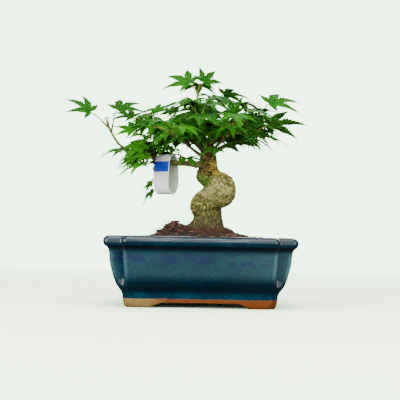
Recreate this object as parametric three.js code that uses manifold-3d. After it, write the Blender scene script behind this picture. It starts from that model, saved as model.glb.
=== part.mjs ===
// A small Japanese maple bonsai in a notched ceramic pot: a coiled trunk grown as one piece
// with its branches, leafy shoots on its twigs, soil, drain screens and a plain loop tag.
// Millimetres, +Z up, +X to the right seen from the front (-Y). The origin lies under the
// middle of the whole plant, on the surface that the pot stands on.
import * as THREE from "three";
import Module from "manifold-3d";
import { mergeVertices } from "three/addons/utils/BufferGeometryUtils.js";

const wasm = await Module();
wasm.setup();

// Driving dimensions
const FIT_GAP = 0.3;             // clearance between two pieces that rest on each other
const SLIVER = 0.02;             // faces thinner than this are merged after joins and cuts

// Pot: half widths by height, rim at the top, feet at the bottom
const POT_DEPTH_LESS = 19;       // the pot's half depth is its half width less this
const FLOOR_UNDER = 5;           // underside of the floor, between the feet
const FLOOR_TOP = 11;
const FOOT_WALL = 8;
const SOIL_EDGE = 59;            // height of the soil at the pot's wall
const LONG_SIDE = 40;            // plan stretches longer than this are divided for the soil
const LONG_PARTS = 5;
const POT_PROFILE = [            // height, half width, notch at the corners
  [0, 66, 3.4], [1.6, 67.4, 3.4], [7, 68.9, 3.4], [12.5, 69.6, 3.4], [15.5, 71.2, 4.4], [19.5, 74.2, 7],
  [25, 76.8, 10], [32, 79, 12], [41, 81, 13.2], [50, 81.9, 13.5],
  [53, 83.1, 14.5], [55.2, 85.8, 16.5], [58, 87, 17.5], [60.8, 86.7, 17.5], [62.8, 85, 17], [63.8, 82.8, 16.5],
];
const CAVITY_PROFILE = [         // the same for the hollow, from above the rim to the floor
  [64.6, 80.4, 15], [SOIL_EDGE, 77.6, 14], [50.8, 76, 13.5], [32, 72.8, 13.5], [FLOOR_TOP, 63, 10.5],
];
const CORNER_ROUND = 3;
const ARCH_FRONT = [43, 34.5];   // half length of the gap between two feet, floor and top
const ARCH_SIDE = [27, 20];
const DRAIN_X = 38;
const DRAIN_RADIUS = 9;
const CUT_THROUGH = 200;           // long enough for a cut to pass right through the pot

// Drain screens and the wires that hold them
const SCREEN_SIDE = 26;
const SCREEN_THICK = 1.2;
const SCREEN_HOLES = 3;
const SCREEN_HOLE = 5.4;
const SCREEN_PITCH = 7.6;
const WIRE_RADIUS = 0.6;

// Soil
const SOIL_RISE = 11.5;          // how much higher it stands round the trunk
const SOIL_SPREAD = [46, 36];
const SOIL_HEAP = { x: -26, y: -12, rise: 8.5, radius: 11 };

// Trunk: three stretches, each [x, y, z, radius]
const TRUNK_FOOT = [
  [4.6, 2, 52, 14], [4.6, 2, 62, 18.5], [4.8, 2, 68, 18.6], [5.4, 2, 75, 15.4], [5.4, 3, 83, 12.9],
  [4.6, 3, 90, 13.2], [6.4, 1, 96, 12.8], [11.5, -3, 100.5, 12], [16.5, -6, 104, 10],
];
const TRUNK_BULGE = [
  [7, -2, 97, 8], [12.5, -6, 101.3, 12.6], [17.6, -7.5, 105.6, 13.7], [16.6, -3, 111.4, 12.6],
  [11.5, 3, 115.5, 9],
];
const TRUNK_NECK = [
  [15, 1, 111, 8], [11, 5.5, 116.6, 10.6], [6.8, 6, 122, 9.4], [5.9, 3, 128.5, 8.5],
  [5.6, 1, 135, 7.8], [4.4, 0, 142.5, 6.2], [2.6, 0, 149, 4.6], [0, 1.6, 157, 3.4],
];
const ROOTS = [
  [[0, 2, 74, 7], [-9, -1, 71, 5.5], [-17, -4, 66, 4], [-24, -6, 58, 2.6]],
  [[8, 0, 73, 7], [17, -3, 69, 5.5], [24, -5, 63, 3.8], [29, -6, 56, 2.6]],
  [[4, -4, 73, 7], [1, -12, 70, 5], [-3, -19, 64, 3.6], [-6, -24, 57, 2.6]],
  [[8, 6, 73, 7], [13, 15, 70, 5], [17, 22, 63, 3.6], [20, 27, 56, 2.6]],
  [[2, 6, 73, 7], [-5, 15, 69, 5], [-10, 22, 62, 3.6], [-13, 27, 55, 2.6]],
];

// Branches: routes and radii at both ends
const BRANCHES = {
  left: {
    radii: [4.4, 1.2],
    route: [[2, 0, 130.5], [-11, -8, 131], [-22, -16, 131], [-33, -10.5, 131.8], [-42, -5, 134],
      [-52, -4, 138.5], [-63.5, -8, 140.5], [-74.5, -12, 145.5], [-81, -14, 153], [-84, -15, 158.5],
      [-86.5, -15, 162.5]],
  },
  upper_left: {
    radii: [3.4, 1.1],
    route: [[3, 0, 141], [-7, -4, 150.5], [-20, -6, 158.5], [-32, -6, 163], [-42.5, -6, 166],
      [-52.5, -8, 169]],
  },
  apex: {
    radii: [3.6, 1.2],
    route: [[1, 1, 152], [-1.5, 2, 161], [-3, 2, 171], [-4.5, 1, 182], [-5.5, 0, 192]],
  },
  right_upper: {
    radii: [3, 1.1],
    route: [[3, 2, 145], [12.4, 4, 156], [23.6, 4, 162], [37.5, 2, 164.4], [47.6, 0, 166.7],
      [54.8, -2, 171.3]],
  },
  right_lower: {
    radii: [2.8, 1],
    route: [[5, -2, 138], [16, -8, 146], [28, -12, 151.4], [37, -14, 154.6], [45, -16, 158]],
  },
  back_left: { radii: [3, 1], route: [[3, 2, 143], [-6, 18, 155], [-18, 32, 163], [-30, 42, 168]] },
  back_right: { radii: [3, 1], route: [[4, 2, 143], [12, 20, 154], [20.5, 36, 161], [29, 47, 165]] },
  back: { radii: [2.8, 1], route: [[1, 2, 149], [1, 20, 162], [-2, 34, 172], [-4, 44, 179]] },
  front_left: { radii: [2.8, 1], route: [[3, -3, 136], [-7, -19, 142], [-15, -31, 147], [-21, -40, 151]] },
  front_right: { radii: [2.8, 1], route: [[5, -3, 140], [13, -20, 147], [20, -32, 152], [26, -39, 156]] },
  front: { radii: [2.4, 1], route: [[2, -2, 148], [1, -15, 157], [-1, -26, 165]] },
  low_left: { radii: [1.8, 1], route: [[-48, -4.4, 136.6], [-51, -14, 135], [-50, -24, 131]] },
  cut_twig_a: { radii: [1.1, 0.8], route: [[-86, -15, 161.7], [-88, -11.5, 166.5], [-90, -10.5, 171.5]] },
  cut_twig_b: { radii: [1.1, 0.8], route: [[-85.4, -15, 160.7], [-86.6, -18, 166.5], [-87, -18.5, 171]] },
};
const BRANCH_TAPER = 2;

// Leaves
const BLADE_THICK = 0.85;        // measured along the leaf's own axis, 0.6 or more across it
const LEAF_RISE = 0.2;           // slope of a lobe where it leaves the hub
const LEAF_DROOP = 0.36;         // how far a lobe's tip hangs, by its length
const LOBE_WIDTH = 0.135;        // half width by length
const LOBES = {
  5: { angles: [-92, -45, 0, 45, 92], lengths: [0.56, 0.88, 1, 0.88, 0.56] },
  7: { angles: [-122, -80, -39, 0, 39, 80, 122], lengths: [0.4, 0.7, 0.92, 1, 0.92, 0.7, 0.4] },
};
const VALLEY = 0.25;             // where two lobes part, by their length
const OUTER_VALLEY = 28;         // degrees from an outermost lobe to the blade's edge beside it
const HUB_HALF = 0.65;
const PETIOLE_RADIUS = 0.7;
const STALK_STEPS = 4;
const STALK_ARCH = 0.1;
const STEM_RADIUS = 1;
const SPUR_RADIUS = 1.2;
const SPUR_LENGTH = 3.5;

// Leafy shoots that show in front: where the shoot leaves the wood, where its stem ends, and its
// leaves as [hub x, y, z, heading in degrees, lean x, lean y, length, lobes]
const PLACED_SHOOTS = [
  {
    from: [-86.5, -15, 162.5], to: [-91, -15, 166.5],
    leaves: [[-103.4, -15, 176.9, 154, 0.6, -1, 27, 5]],
  },
  {
    from: [-84, -15, 158.5], to: [-82.5, -19.5, 163.5],
    leaves: [[-77.7, -20, 178.3, 49, 0, -0.67, 30, 5]],
  },
  {
    from: [-52.5, -8, 169], to: [-57, -9, 171],
    leaves: [[-64.5, -12, 172.6, 145, 0.07, -0.58, 24, 5], [-42.3, -4, 178.6, 79, -0.34, -0.72, 21, 5]],
  },
  {
    from: [-42.5, -6, 166], to: [-49, -11, 165],
    leaves: [[-63.9, -18, 159.4, 143, 0, -0.91, 21, 5], [-51.3, -28, 153.5, 225, 0.26, -0.22, 20, 5]],
  },
  {
    from: [-52, -4, 138.5], to: [-52.5, -12, 144],
    leaves: [[-51.8, -19, 150.2, 126, -0.7, -0.65, 18, 5], [-41, -24, 147.5, 320, 0, -0.5, 23, 5]],
  },
  {
    from: [-50, -24, 131], to: [-51.5, -28.5, 129.5],
    leaves: [[-52.6, -41, 127.5, 192, -0.3, -0.3, 26, 5], [-47.8, -41, 134.7, 184, 0, -0.45, 19, 5]],
  },
  {
    from: [-42, -5, 134], to: [-45, 1, 127],
    leaves: [[-46.6, 4, 113.1, 177, -1, -0.8, 14.5, 5], [-45.2, 10, 106.2, 205, -0.9, -0.5, 18, 5]],
  },
  {
    from: [-5.5, 0, 192], to: [-5.5, 0, 197],
    leaves: [[0.1, -3, 207.2, 81, 0.43, -1.6, 23, 5], [-13.2, -1, 206, 131, -0.1, -1, 29.6, 5],
      [-4, 9, 207, 95, 0, 0.3, 26, 5]],
  },
  {
    from: [-4.5, 1, 182], to: [-5, -5, 185],
    leaves: [[-5.6, -10, 187.6, 230, -0.12, -0.13, 32, 5], [5.1, 0, 187.5, 330, 0.05, -0.35, 27, 5]],
  },
  {
    from: [23.6, 4, 162], to: [25, -3, 169],
    leaves: [[29.2, -22, 176.1, 71, -1.5, -2.3, 23, 5], [19, -1, 196, 336, 0.2, 0.3, 27.5, 5]],
  },
  {
    from: [54.8, -2, 171.3], to: [57, -3, 177],
    leaves: [[61, -6, 188.1, 29, 0.05, -0.64, 35, 5], [54, -9, 179.7, 247, 0.04, 0.11, 24.5, 5]],
  },
  {
    from: [45, -16, 158], to: [49.5, -17.5, 160.5],
    leaves: [[60.5, -20, 166.4, 343, 0.02, 0.57, 36.3, 5], [49.8, -33, 164.6, 305, 0, -0.15, 25, 5]],
  },
  {
    from: [16, -8, 146], to: [17, -15, 145],
    leaves: [[20.6, -31, 144.8, 14, -0.25, 0.13, 31.5, 5], [13.9, -33, 142.3, 213, 0, -0.4, 21, 5]],
  },
  {
    from: [-32, -6, 163], to: [-33, -1, 170],
    leaves: [[-27.3, 3, 179.4, 139, -0.12, -0.66, 20, 5], [-22.1, -6, 173.4, 320, 0, -0.35, 25, 5]],
  },
  {
    from: [-7, -4, 150.5], to: [-8, -12, 152.5],
    leaves: [[-14.9, -34, 159.3, 247, 0, -0.4, 22, 5], [-2, -26, 152, 285, 0, -0.4, 22, 5]],
  },
  {
    from: [-22, -16, 131], to: [-20, -20, 136],
    leaves: [[-26.2, -19, 143.6, 220, 0, -0.4, 20, 5], [-14, -27, 135, 290, 0, -0.4, 20, 5]],
  },
];

// Shoots that fill the crown: where each leaves the wood, its heading and rise in degrees, and
// how many leaves it carries
const FILL_SHOOTS = [
  { from: [-15, -31, 147], heading: 330, rise: 50, leaves: 2 },
  { from: [-3, 2, 171], heading: 20, rise: 35, leaves: 3 },
  { from: [-1.5, 2, 161], heading: 165, rise: 30, leaves: 2 },
  { from: [37.5, 2, 164.4], heading: 75, rise: 35, leaves: 3 },
  { from: [28, -12, 151.4], heading: 300, rise: 55, leaves: 3 },
  { from: [-30, 42, 168], heading: 125, rise: 25, leaves: 3 },
  { from: [-18, 32, 163], heading: 212, rise: 40, leaves: 3 },
  { from: [29, 47, 165], heading: 60, rise: 25, leaves: 3 },
  { from: [20.5, 36, 161], heading: 0, rise: 30, leaves: 3 },
  { from: [-4, 44, 179], heading: 100, rise: 35, leaves: 3 },
  { from: [-21, -40, 151], heading: 235, rise: 20, leaves: 3 },
  { from: [26, -39, 156], heading: 285, rise: 60, leaves: 3 },
  { from: [-1, -26, 165], heading: 262, rise: 35, leaves: 3 },
  { from: [12, 20, 154], heading: 330, rise: 10, leaves: 3 },
];
const FILL_STEM = [7, 12];       // least and most length of a filling shoot's stem
const FILL_PETIOLE = [12, 20];
const FILL_LENGTH = [24, 31];
const FILL_SPREAD = 62;          // degrees between two leaves of a filling shoot
const DRAW_SEED = 20;

// A leaf that would meet another is tried again, turned and lifted, until it lies clear
const TRY_TWISTS = [0, 12, -12, 24, -24, 40, -40, 60, -60];
const TRY_LIFTS = [0, 2, -2, 4, -4, 6, -6, 9, -9, 12, -12, 16];
const TWIST_EFFORT = 0.15;       // a turn of one degree counts as this many millimetres of lift
const SPOT_STEP = 3;
const SPOT_RADIUS = 1.3;
const SPOT_MARGIN = 1;
const TAG_ROOM = 9.5;            // radius kept free round the tag's middle line
const NECK_ROOM = 7.8;           // and round the trunk's neck

// Tag: a strip bent into a hanging loop over the left branch
const TAG_WIDTH = 17.6;
const TAG_THICK = 0.8;
const TAG_HANG = [-33, -10.5, 131.8];      // the branch's middle where the tag hangs
const TAG_TOP = 6.3;                      // from there up to the strip's inner face
const TAG_DROP = 28.8;                     // and down to it
const TAG_BELLY = 7.2;
const TAG_YAW = -38;

const rad = THREE.MathUtils.degToRad;
const vec = (p) => (p.isVector3 ? p : new THREE.Vector3(p[0], p[1], p[2]));
const smooth = (route) => new THREE.CatmullRomCurve3(route.map(vec), false, "centripetal");

// Solids from rings of points and back
function indexed(points, triangles) {
  const geometry = new THREE.BufferGeometry();
  const positions = points.flatMap((p) => [p.x, p.y, p.z]);
  geometry.setAttribute("position", new THREE.Float32BufferAttribute(positions, 3));
  geometry.setIndex(triangles.flat());
  return geometry;
}

// Rings run anticlockwise seen from the far end. A fan closes each end, from its middle where the
// outline has hollows
function loft(rings, starEnds = true) {
  const count = rings[0].length;
  const points = rings.flat();
  const triangles = [];
  for (let ring = 0; ring < rings.length - 1; ring += 1) {
    for (let i = 0; i < count; i += 1) {
      const a = ring * count + i;
      const b = ring * count + (i + 1) % count;
      triangles.push([a, b, b + count], [a, b + count, a + count]);
    }
  }
  const top = (rings.length - 1) * count;
  if (starEnds) {
    for (const ring of [rings[0], rings.at(-1)]) {
      const middle = new THREE.Vector3();
      ring.forEach((p) => middle.add(p));
      points.push(middle.divideScalar(count));
    }
    for (let i = 0; i < count; i += 1) {
      const next = (i + 1) % count;
      triangles.push([next, i, points.length - 2], [top + i, top + next, points.length - 1]);
    }
  } else {
    for (let i = 1; i < count - 1; i += 1) {
      triangles.push([0, i + 1, i], [top, top + i, top + i + 1]);
    }
  }
  return indexed(points, triangles);
}

function toSolid(geometry) {
  const bare = geometry.clone();
  bare.deleteAttribute("normal");
  bare.deleteAttribute("uv");
  const merged = mergeVertices(bare, 1e-4);
  return new wasm.Manifold(new wasm.Mesh({
    numProp: 3,
    vertProperties: new Float32Array(merged.attributes.position.array),
    triVerts: new Uint32Array(merged.index.array),
  }));
}

function toGeometry(solid) {
  const { numProp, vertProperties, triVerts } = solid.getMesh();
  const positions = [];
  for (let i = 0; i < vertProperties.length; i += numProp) {
    positions.push(vertProperties[i], vertProperties[i + 1], vertProperties[i + 2]);
  }
  const geometry = new THREE.BufferGeometry();
  geometry.setAttribute("position", new THREE.Float32BufferAttribute(positions, 3));
  geometry.setIndex(Array.from(triVerts));
  return geometry;
}

// Drops needle-thin faces that a join or cut leaves, and all but the largest skin: a hollow that
// is sealed in is filled that way
function cleaned(solid) {
  const skins = solid.asOriginal().simplify(SLIVER).decompose();
  return skins.reduce((best, skin) => (skin.volume() > best.volume() ? skin : best));
}

const fuse = (geometries) => cleaned(wasm.Manifold.union(geometries.map(toSolid)));

// A round tube along a smooth curve through points, its radius running between the given ones
function tube(route, radii, sides, steps, relief = 0, grow = 0) {
  const curve = smooth(route);
  const frames = curve.computeFrenetFrames(steps, false);
  const rings = [];
  for (let i = 0; i <= steps; i += 1) {
    const along = i / steps;
    const centre = curve.getPointAt(along);
    const place = curve.getUtoTmapping(along) * (radii.length - 1);
    const low = Math.min(Math.floor(place), radii.length - 2);
    const radius = THREE.MathUtils.lerp(radii[low], radii[low + 1], place - low);
    const ring = [];
    for (let side = 0; side < sides; side += 1) {
      const turn = side / sides * Math.PI * 2;
      const swell = 1 + relief * (Math.sin(3 * turn + 9 * along) + 0.6 * Math.sin(5 * turn - 14 * along));
      const reach = radius * swell + grow;
      ring.push(centre.clone()
        .addScaledVector(frames.normals[i], Math.cos(turn) * reach)
        .addScaledVector(frames.binormals[i], Math.sin(turn) * reach));
    }
    rings.push(ring);
  }
  return loft(rings, false);
}

function branchRadii([thick, thin], count) {
  return Array.from({ length: count }, (_, i) => (
    thin + (thick - thin) * (1 - i / (count - 1)) ** BRANCH_TAPER));
}

// Plan outline of the pot: a rectangle with stepped-in, rounded corners
function notched(halfWidth, notch, z, inset = 0) {
  const x = halfWidth - inset;
  const y = halfWidth - POT_DEPTH_LESS - inset;
  const rounded = (cornerX, cornerY) => [0, 45, 90].map((turn) => [
    cornerX + CORNER_ROUND * (Math.cos(rad(turn)) - 1),
    cornerY + CORNER_ROUND * (Math.sin(rad(turn)) - 1),
  ]);
  const quarter = [...rounded(x, y - notch), [x - notch, y - notch], ...rounded(x - notch, y)];
  const ring = [];
  for (const [signX, signY, back] of [[1, 1, false], [-1, 1, true], [-1, -1, false], [1, -1, true]]) {
    const run = back ? [...quarter].reverse() : quarter;
    run.forEach(([px, py]) => ring.push(new THREE.Vector3(px * signX, py * signY, z)));
  }
  return ring;
}

// The same outline with its long stretches divided, so that a surface inside it can undulate
function divided(ring) {
  return ring.flatMap((p, i) => {
    const next = ring[(i + 1) % ring.length];
    const parts = p.distanceTo(next) > LONG_SIDE ? LONG_PARTS : 1;
    return Array.from({ length: parts }, (_, k) => p.clone().lerp(next, k / parts));
  });
}

// The arched gap between two feet, cut right through the pot
function archCut([floorHalf, topHalf], alongX) {
  const shape = new THREE.Shape();
  shape.moveTo(-floorHalf, -1);
  shape.lineTo(floorHalf, -1);
  shape.lineTo(floorHalf, 0.8);
  shape.bezierCurveTo(floorHalf - 2, 3.4, topHalf + 4, 2.4, topHalf, FLOOR_UNDER);
  shape.lineTo(-topHalf, FLOOR_UNDER);
  shape.bezierCurveTo(-topHalf - 4, 2.4, -floorHalf + 2, 3.4, -floorHalf, 0.8);
  const cut = new THREE.ExtrudeGeometry(shape, { depth: CUT_THROUGH, bevelEnabled: false, curveSegments: 4 });
  cut.translate(0, 0, -CUT_THROUGH / 2);
  cut.rotateX(Math.PI / 2);
  if (alongX) cut.rotateZ(Math.PI / 2);
  return toSolid(cut);
}

function potGeometry() {
  let pot = toSolid(loft(POT_PROFILE.map(([z, half, notch]) => notched(half, notch, z))));
  const hollow = [...CAVITY_PROFILE].reverse().map(([z, half, notch]) => notched(half, notch, z));
  pot = pot.subtract(toSolid(loft(hollow)));
  const [, footHalf, footNotch] = POT_PROFILE[0];
  const under = [-1, FLOOR_UNDER].map((z) => notched(footHalf, footNotch, z, FOOT_WALL));
  pot = pot.subtract(toSolid(loft(under)));
  pot = pot.subtract(archCut(ARCH_FRONT, false)).subtract(archCut(ARCH_SIDE, true));
  for (const x of [-DRAIN_X, DRAIN_X]) {
    const drain = new THREE.CylinderGeometry(DRAIN_RADIUS, DRAIN_RADIUS, 2 * (FLOOR_TOP - FLOOR_UNDER), 20);
    drain.rotateX(Math.PI / 2);
    drain.translate(x, 0, (FLOOR_TOP + FLOOR_UNDER) / 2);
    pot = pot.subtract(toSolid(drain));
  }
  return toGeometry(cleaned(pot));
}

// The soil's upper face: a mound round the trunk, a heap of moss beside it, and small lumps
function soilHeight(x, y) {
  const mound = SOIL_RISE * Math.exp(-((x / SOIL_SPREAD[0]) ** 2) - ((y / SOIL_SPREAD[1]) ** 2));
  const fromHeap = ((x - SOIL_HEAP.x) ** 2 + (y - SOIL_HEAP.y) ** 2) / SOIL_HEAP.radius ** 2;
  const lumps = 0.5 * Math.sin(x * 0.42 + 1) * Math.cos(y * 0.37) + 0.35 * Math.sin(x * 0.9 - y * 0.8);
  return SOIL_EDGE + mound + SOIL_HEAP.rise * Math.exp(-fromHeap) + lumps;
}

// The part of the trunk that stands in the soil, or, grown by a gap, the hole for it
function trunkBaseParts(grow) {
  const parts = [tube(TRUNK_FOOT, TRUNK_FOOT.map((p) => p[3]), 16, 15, 0.02, grow)];
  for (const root of ROOTS) {
    parts.push(tube(root, root.map((p) => p[3]), 6, 4, 0, grow));
  }
  return parts;
}

function soilGeometry() {
  const rings = [];
  for (const [z, half, notch] of [...CAVITY_PROFILE].reverse()) {
    if (z > SOIL_EDGE) break;
    rings.push(divided(notched(half, notch, Math.max(z, FLOOR_TOP + FIT_GAP), FIT_GAP)));
  }
  const edge = rings.pop();
  for (const shrink of [1, 0.84, 0.68, 0.52, 0.36, 0.18]) {
    rings.push(edge.map((p) => {
      const x = p.x * shrink;
      const y = p.y * shrink;
      return new THREE.Vector3(x, y, soilHeight(x, y));
    }));
  }
  let soil = toSolid(loft(rings));
  soil = soil.subtract(fuse(trunkBaseParts(FIT_GAP)));
  const [footX, footY, footZ, footRadius] = TRUNK_FOOT[0];
  const footHole = new THREE.CylinderGeometry(footRadius + FIT_GAP, footRadius + FIT_GAP, 2, 18);
  footHole.rotateX(Math.PI / 2);
  footHole.translate(footX, footY, footZ + 1 - FIT_GAP);
  soil = soil.subtract(toSolid(footHole));
  const side = SCREEN_SIDE + 2 * FIT_GAP;
  const height = SCREEN_THICK + 2 * FIT_GAP + 4 * WIRE_RADIUS;
  for (const x of [-DRAIN_X, DRAIN_X]) {
    const recess = new THREE.BoxGeometry(side, side, 2 * height);
    recess.translate(x, 0, FLOOR_TOP);
    soil = soil.subtract(toSolid(recess));
  }
  return toGeometry(cleaned(soil));
}

function screenGeometry(x) {
  const z = FLOOR_TOP + FIT_GAP + SCREEN_THICK / 2;
  const plate = new THREE.BoxGeometry(SCREEN_SIDE, SCREEN_SIDE, SCREEN_THICK);
  plate.translate(x, 0, z);
  let screen = toSolid(plate);
  const first = -SCREEN_PITCH * (SCREEN_HOLES - 1) / 2;
  for (let row = 0; row < SCREEN_HOLES; row += 1) {
    for (let column = 0; column < SCREEN_HOLES; column += 1) {
      const hole = new THREE.BoxGeometry(SCREEN_HOLE, SCREEN_HOLE, 2 * SCREEN_THICK);
      hole.translate(x + first + column * SCREEN_PITCH, first + row * SCREEN_PITCH, z);
      screen = screen.subtract(toSolid(hole));
    }
  }
  return toGeometry(cleaned(screen));
}

// A staple over the screen: its legs pass through the screen and the drain hole and bend outwards
function clipGeometry(x) {
  const leg = SCREEN_PITCH * 0.8;
  const top = FLOOR_TOP + FIT_GAP + SCREEN_THICK + FIT_GAP + WIRE_RADIUS;
  const low = FLOOR_UNDER - 2 * FIT_GAP - WIRE_RADIUS;
  const out = DRAIN_RADIUS + 5;
  const half = [[leg - 1.2, top], [leg, top - 1.6], [leg, low + 4], [leg + 0.6, low + 1.4], [leg + 4.5, low],
    [out - 3, low], [out, low]];
  const route = [...half.map(([along, z]) => [-along, z]).reverse(), ...half];
  const points = route.map(([along, z]) => new THREE.Vector3(x + along, 0, z));
  return tube(points, [WIRE_RADIUS, WIRE_RADIUS], 5, 26);
}

function tagGeometry() {
  const outer = new THREE.Shape();
  const inner = new THREE.Path();
  const trace = (path, grow) => {
    const top = TAG_TOP + grow;
    const low = -TAG_DROP - grow;
    const side = TAG_BELLY + grow;
    path.moveTo(0, top);
    path.bezierCurveTo(-top, top, -side * 0.9, -6, -side, -16);
    path.bezierCurveTo(-side * 1.06, low + 8, -side * 0.9, low, 0, low);
    path.bezierCurveTo(side * 0.9, low, side * 1.06, low + 8, side, -16);
    path.bezierCurveTo(side * 0.9, -6, top, top, 0, top);
  };
  trace(outer, TAG_THICK);
  trace(inner, 0);
  outer.holes.push(inner);
  const strip = new THREE.ExtrudeGeometry(outer, {
    depth: TAG_WIDTH, bevelEnabled: false, curveSegments: 5,
  });
  strip.translate(0, 0, -TAG_WIDTH / 2);
  strip.rotateX(Math.PI / 2);
  strip.rotateZ(Math.PI / 2 + rad(TAG_YAW));
  strip.translate(...TAG_HANG);
  return strip;
}

// Leaves
// Gives draws between two limits, always the same ones for a seed
function drawer(seed) {
  let state = seed;
  return (least, most) => {
    state = (state * 1664525 + 1013904223) % 4294967296;
    return least + (most - least) * state / 4294967296;
  };
}

// A direction from its heading and its rise above level, in degrees
function headed(heading, rise) {
  const level = Math.cos(rad(rise));
  const x = Math.cos(rad(heading)) * level;
  const y = Math.sin(rad(heading)) * level;
  return new THREE.Vector3(x, y, Math.sin(rad(rise)));
}

// The axes of a leaf: its middle lobe, its left side and its upper face
function leafAxes(leaf) {
  const up = new THREE.Vector3(leaf.lean[0], leaf.lean[1], 1).normalize();
  const heading = headed(leaf.heading, 0);
  const out = heading.addScaledVector(up, -heading.dot(up)).normalize();
  return { out, side: up.clone().cross(out), up };
}

// A point of the blade: a distance out along a lobe, and a distance to its left
function bladePoint(leaf, axes, angle, lobeLength, along, across) {
  const reach = along * lobeLength;
  const x = Math.cos(angle) * reach - Math.sin(angle) * across;
  const y = Math.sin(angle) * reach + Math.cos(angle) * across;
  const height = LEAF_RISE * reach - LEAF_DROOP * reach * reach / leaf.length + 0.25 * Math.abs(across);
  return leaf.hub.clone()
    .addScaledVector(axes.out, x)
    .addScaledVector(axes.side, y)
    .addScaledVector(axes.up, height);
}

// A leaf and its stalk in one skin: the lobes fan out from two hub points on the upper face and
// one on the lower, and the stalk's three-sided tube starts from those same three points
function leafGeometry(leaf, from) {
  const axes = leafAxes(leaf);
  const { angles, lengths } = LOBES[leaf.lobes];
  const hubLeft = leaf.hub.clone().addScaledVector(axes.side, HUB_HALF);
  const hubRight = leaf.hub.clone().addScaledVector(axes.side, -HUB_HALF);
  const top = [hubRight, hubLeft];
  const add = (degrees, length, along, across) => (
    top.push(bladePoint(leaf, axes, rad(degrees), length * leaf.length, along, across)) - 1);
  const last = angles.length - 1;
  const centre = last / 2;
  const faces = [];
  let right = add(angles[0] - OUTER_VALLEY, lengths[0], VALLEY, 0);
  const edge = [0, right];
  for (let lobe = 0; lobe <= last; lobe += 1) {
    const hub = lobe > centre ? 1 : 0;
    const half = LOBE_WIDTH * lengths[lobe] * leaf.length;
    const sideRight = add(angles[lobe], lengths[lobe], 0.56, -half);
    const tip = add(angles[lobe], lengths[lobe], 1, 0);
    const sideLeft = add(angles[lobe], lengths[lobe], 0.56, half);
    const left = lobe === last
      ? add(angles[lobe] + OUTER_VALLEY, lengths[lobe], VALLEY, 0)
      : add((angles[lobe] + angles[lobe + 1]) / 2, (lengths[lobe] + lengths[lobe + 1]) / 2, VALLEY, 0);
    if (lobe === 0 || lobe === last) {
      faces.push([hub, right, sideRight], [hub, sideRight, tip]);
      faces.push([hub, tip, sideLeft], [hub, sideLeft, left]);
    } else {
      const middle = add(angles[lobe], lengths[lobe], 0.5, 0);
      faces.push([hub, right, middle], [right, sideRight, middle], [sideRight, tip, middle]);
      faces.push([middle, tip, sideLeft], [middle, sideLeft, left]);
      faces.push([lobe === centre ? 1 : hub, middle, left]);
      if (lobe === centre) faces.push([0, middle, 1]);
    }
    edge.push(sideRight, tip, sideLeft, left);
    right = left;
  }
  edge.push(1);
  const count = top.length;
  const bottom = top.slice(2).map((p) => p.clone().addScaledVector(axes.up, -BLADE_THICK));
  const hubUnder = leaf.hub.clone().addScaledVector(axes.up, -BLADE_THICK);
  const points = [...top, hubUnder, ...bottom];
  const below = (i) => (i < 2 ? count : count + i - 1);
  const under = faces.filter(([a, , c]) => a > 1 || c > 1)
    .map(([a, b, c]) => [below(a), below(c), below(b)]);
  const rim = [];
  for (let i = 0; i < edge.length - 1; i += 1) {
    const [a, b] = [edge[i], edge[i + 1]];
    rim.push([a, below(a), below(b)], [a, below(b), b]);
  }
  const stalk = stalkFaces(points, [0, 1, count], leaf, axes, from);
  return indexed(points, [...faces, ...under, ...rim, ...stalk]);
}

// A leaf's stalk leaves the hub backwards and bends over into the end of the shoot's stem
function stalkCurve(from, leaf) {
  const axes = leafAxes(leaf);
  const behind = leaf.hub.clone().addScaledVector(axes.out, -2.5).addScaledVector(axes.up, -0.9);
  const middle = from.clone().lerp(behind, 0.5);
  middle.z += from.distanceTo(behind) * STALK_ARCH;
  return new THREE.CatmullRomCurve3([leaf.hub, behind, middle, from], false, "centripetal");
}

// Adds the stalk's rings to the points and gives the faces of its tube
function stalkFaces(points, hubRing, leaf, axes, from) {
  const curve = stalkCurve(from, leaf);
  const faces = [];
  let ring = hubRing;
  for (let step = 1; step <= STALK_STEPS; step += 1) {
    const along = step / STALK_STEPS;
    const tangent = curve.getTangent(along);
    const side = axes.side.clone().addScaledVector(tangent, -axes.side.dot(tangent)).normalize();
    const down = tangent.clone().cross(side);
    const centre = curve.getPoint(along);
    const next = [[-1, -0.6], [1, -0.6], [0, 1.1]].map(([across, below]) => (
      points.push(centre.clone()
        .addScaledVector(side, across * PETIOLE_RADIUS)
        .addScaledVector(down, below * PETIOLE_RADIUS)) - 1));
    for (let i = 0; i < 3; i += 1) {
      const j = (i + 1) % 3;
      faces.push([ring[i], ring[j], next[j]], [ring[i], next[j], next[i]]);
    }
    ring = next;
  }
  return [...faces, [ring[0], ring[1], ring[2]]];
}

// Spots are balls that stand for a leaf or twig where pieces are tested for room
function routeSpots(curve, radius, start = 0, stop = 1) {
  const reach = curve.points.slice(1).reduce((sum, p, i) => sum + p.distanceTo(curve.points[i]), 0);
  const steps = Math.ceil(reach / SPOT_STEP) + 1;
  const spots = [];
  for (let i = 0; i <= steps; i += 1) {
    const along = i / steps;
    if (along >= start && along <= stop) spots.push({ at: curve.getPoint(along), radius });
  }
  return spots;
}

function bladeSpots(leaf) {
  const axes = leafAxes(leaf);
  const { angles, lengths } = LOBES[leaf.lobes];
  const spots = [];
  angles.forEach((degrees, lobe) => {
    const length = lengths[lobe] * leaf.length;
    const steps = Math.ceil(length / SPOT_STEP);
    for (let i = 1; i <= steps; i += 1) {
      const along = i / steps;
      const half = LOBE_WIDTH * length * Math.min(1, (1 - along) / 0.44);
      for (const across of half > 1.6 ? [-half * 0.7, 0, half * 0.7] : [0]) {
        const at = bladePoint(leaf, axes, rad(degrees), length, along, across);
        spots.push({ at, radius: SPOT_RADIUS });
      }
    }
  });
  return spots;
}

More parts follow.
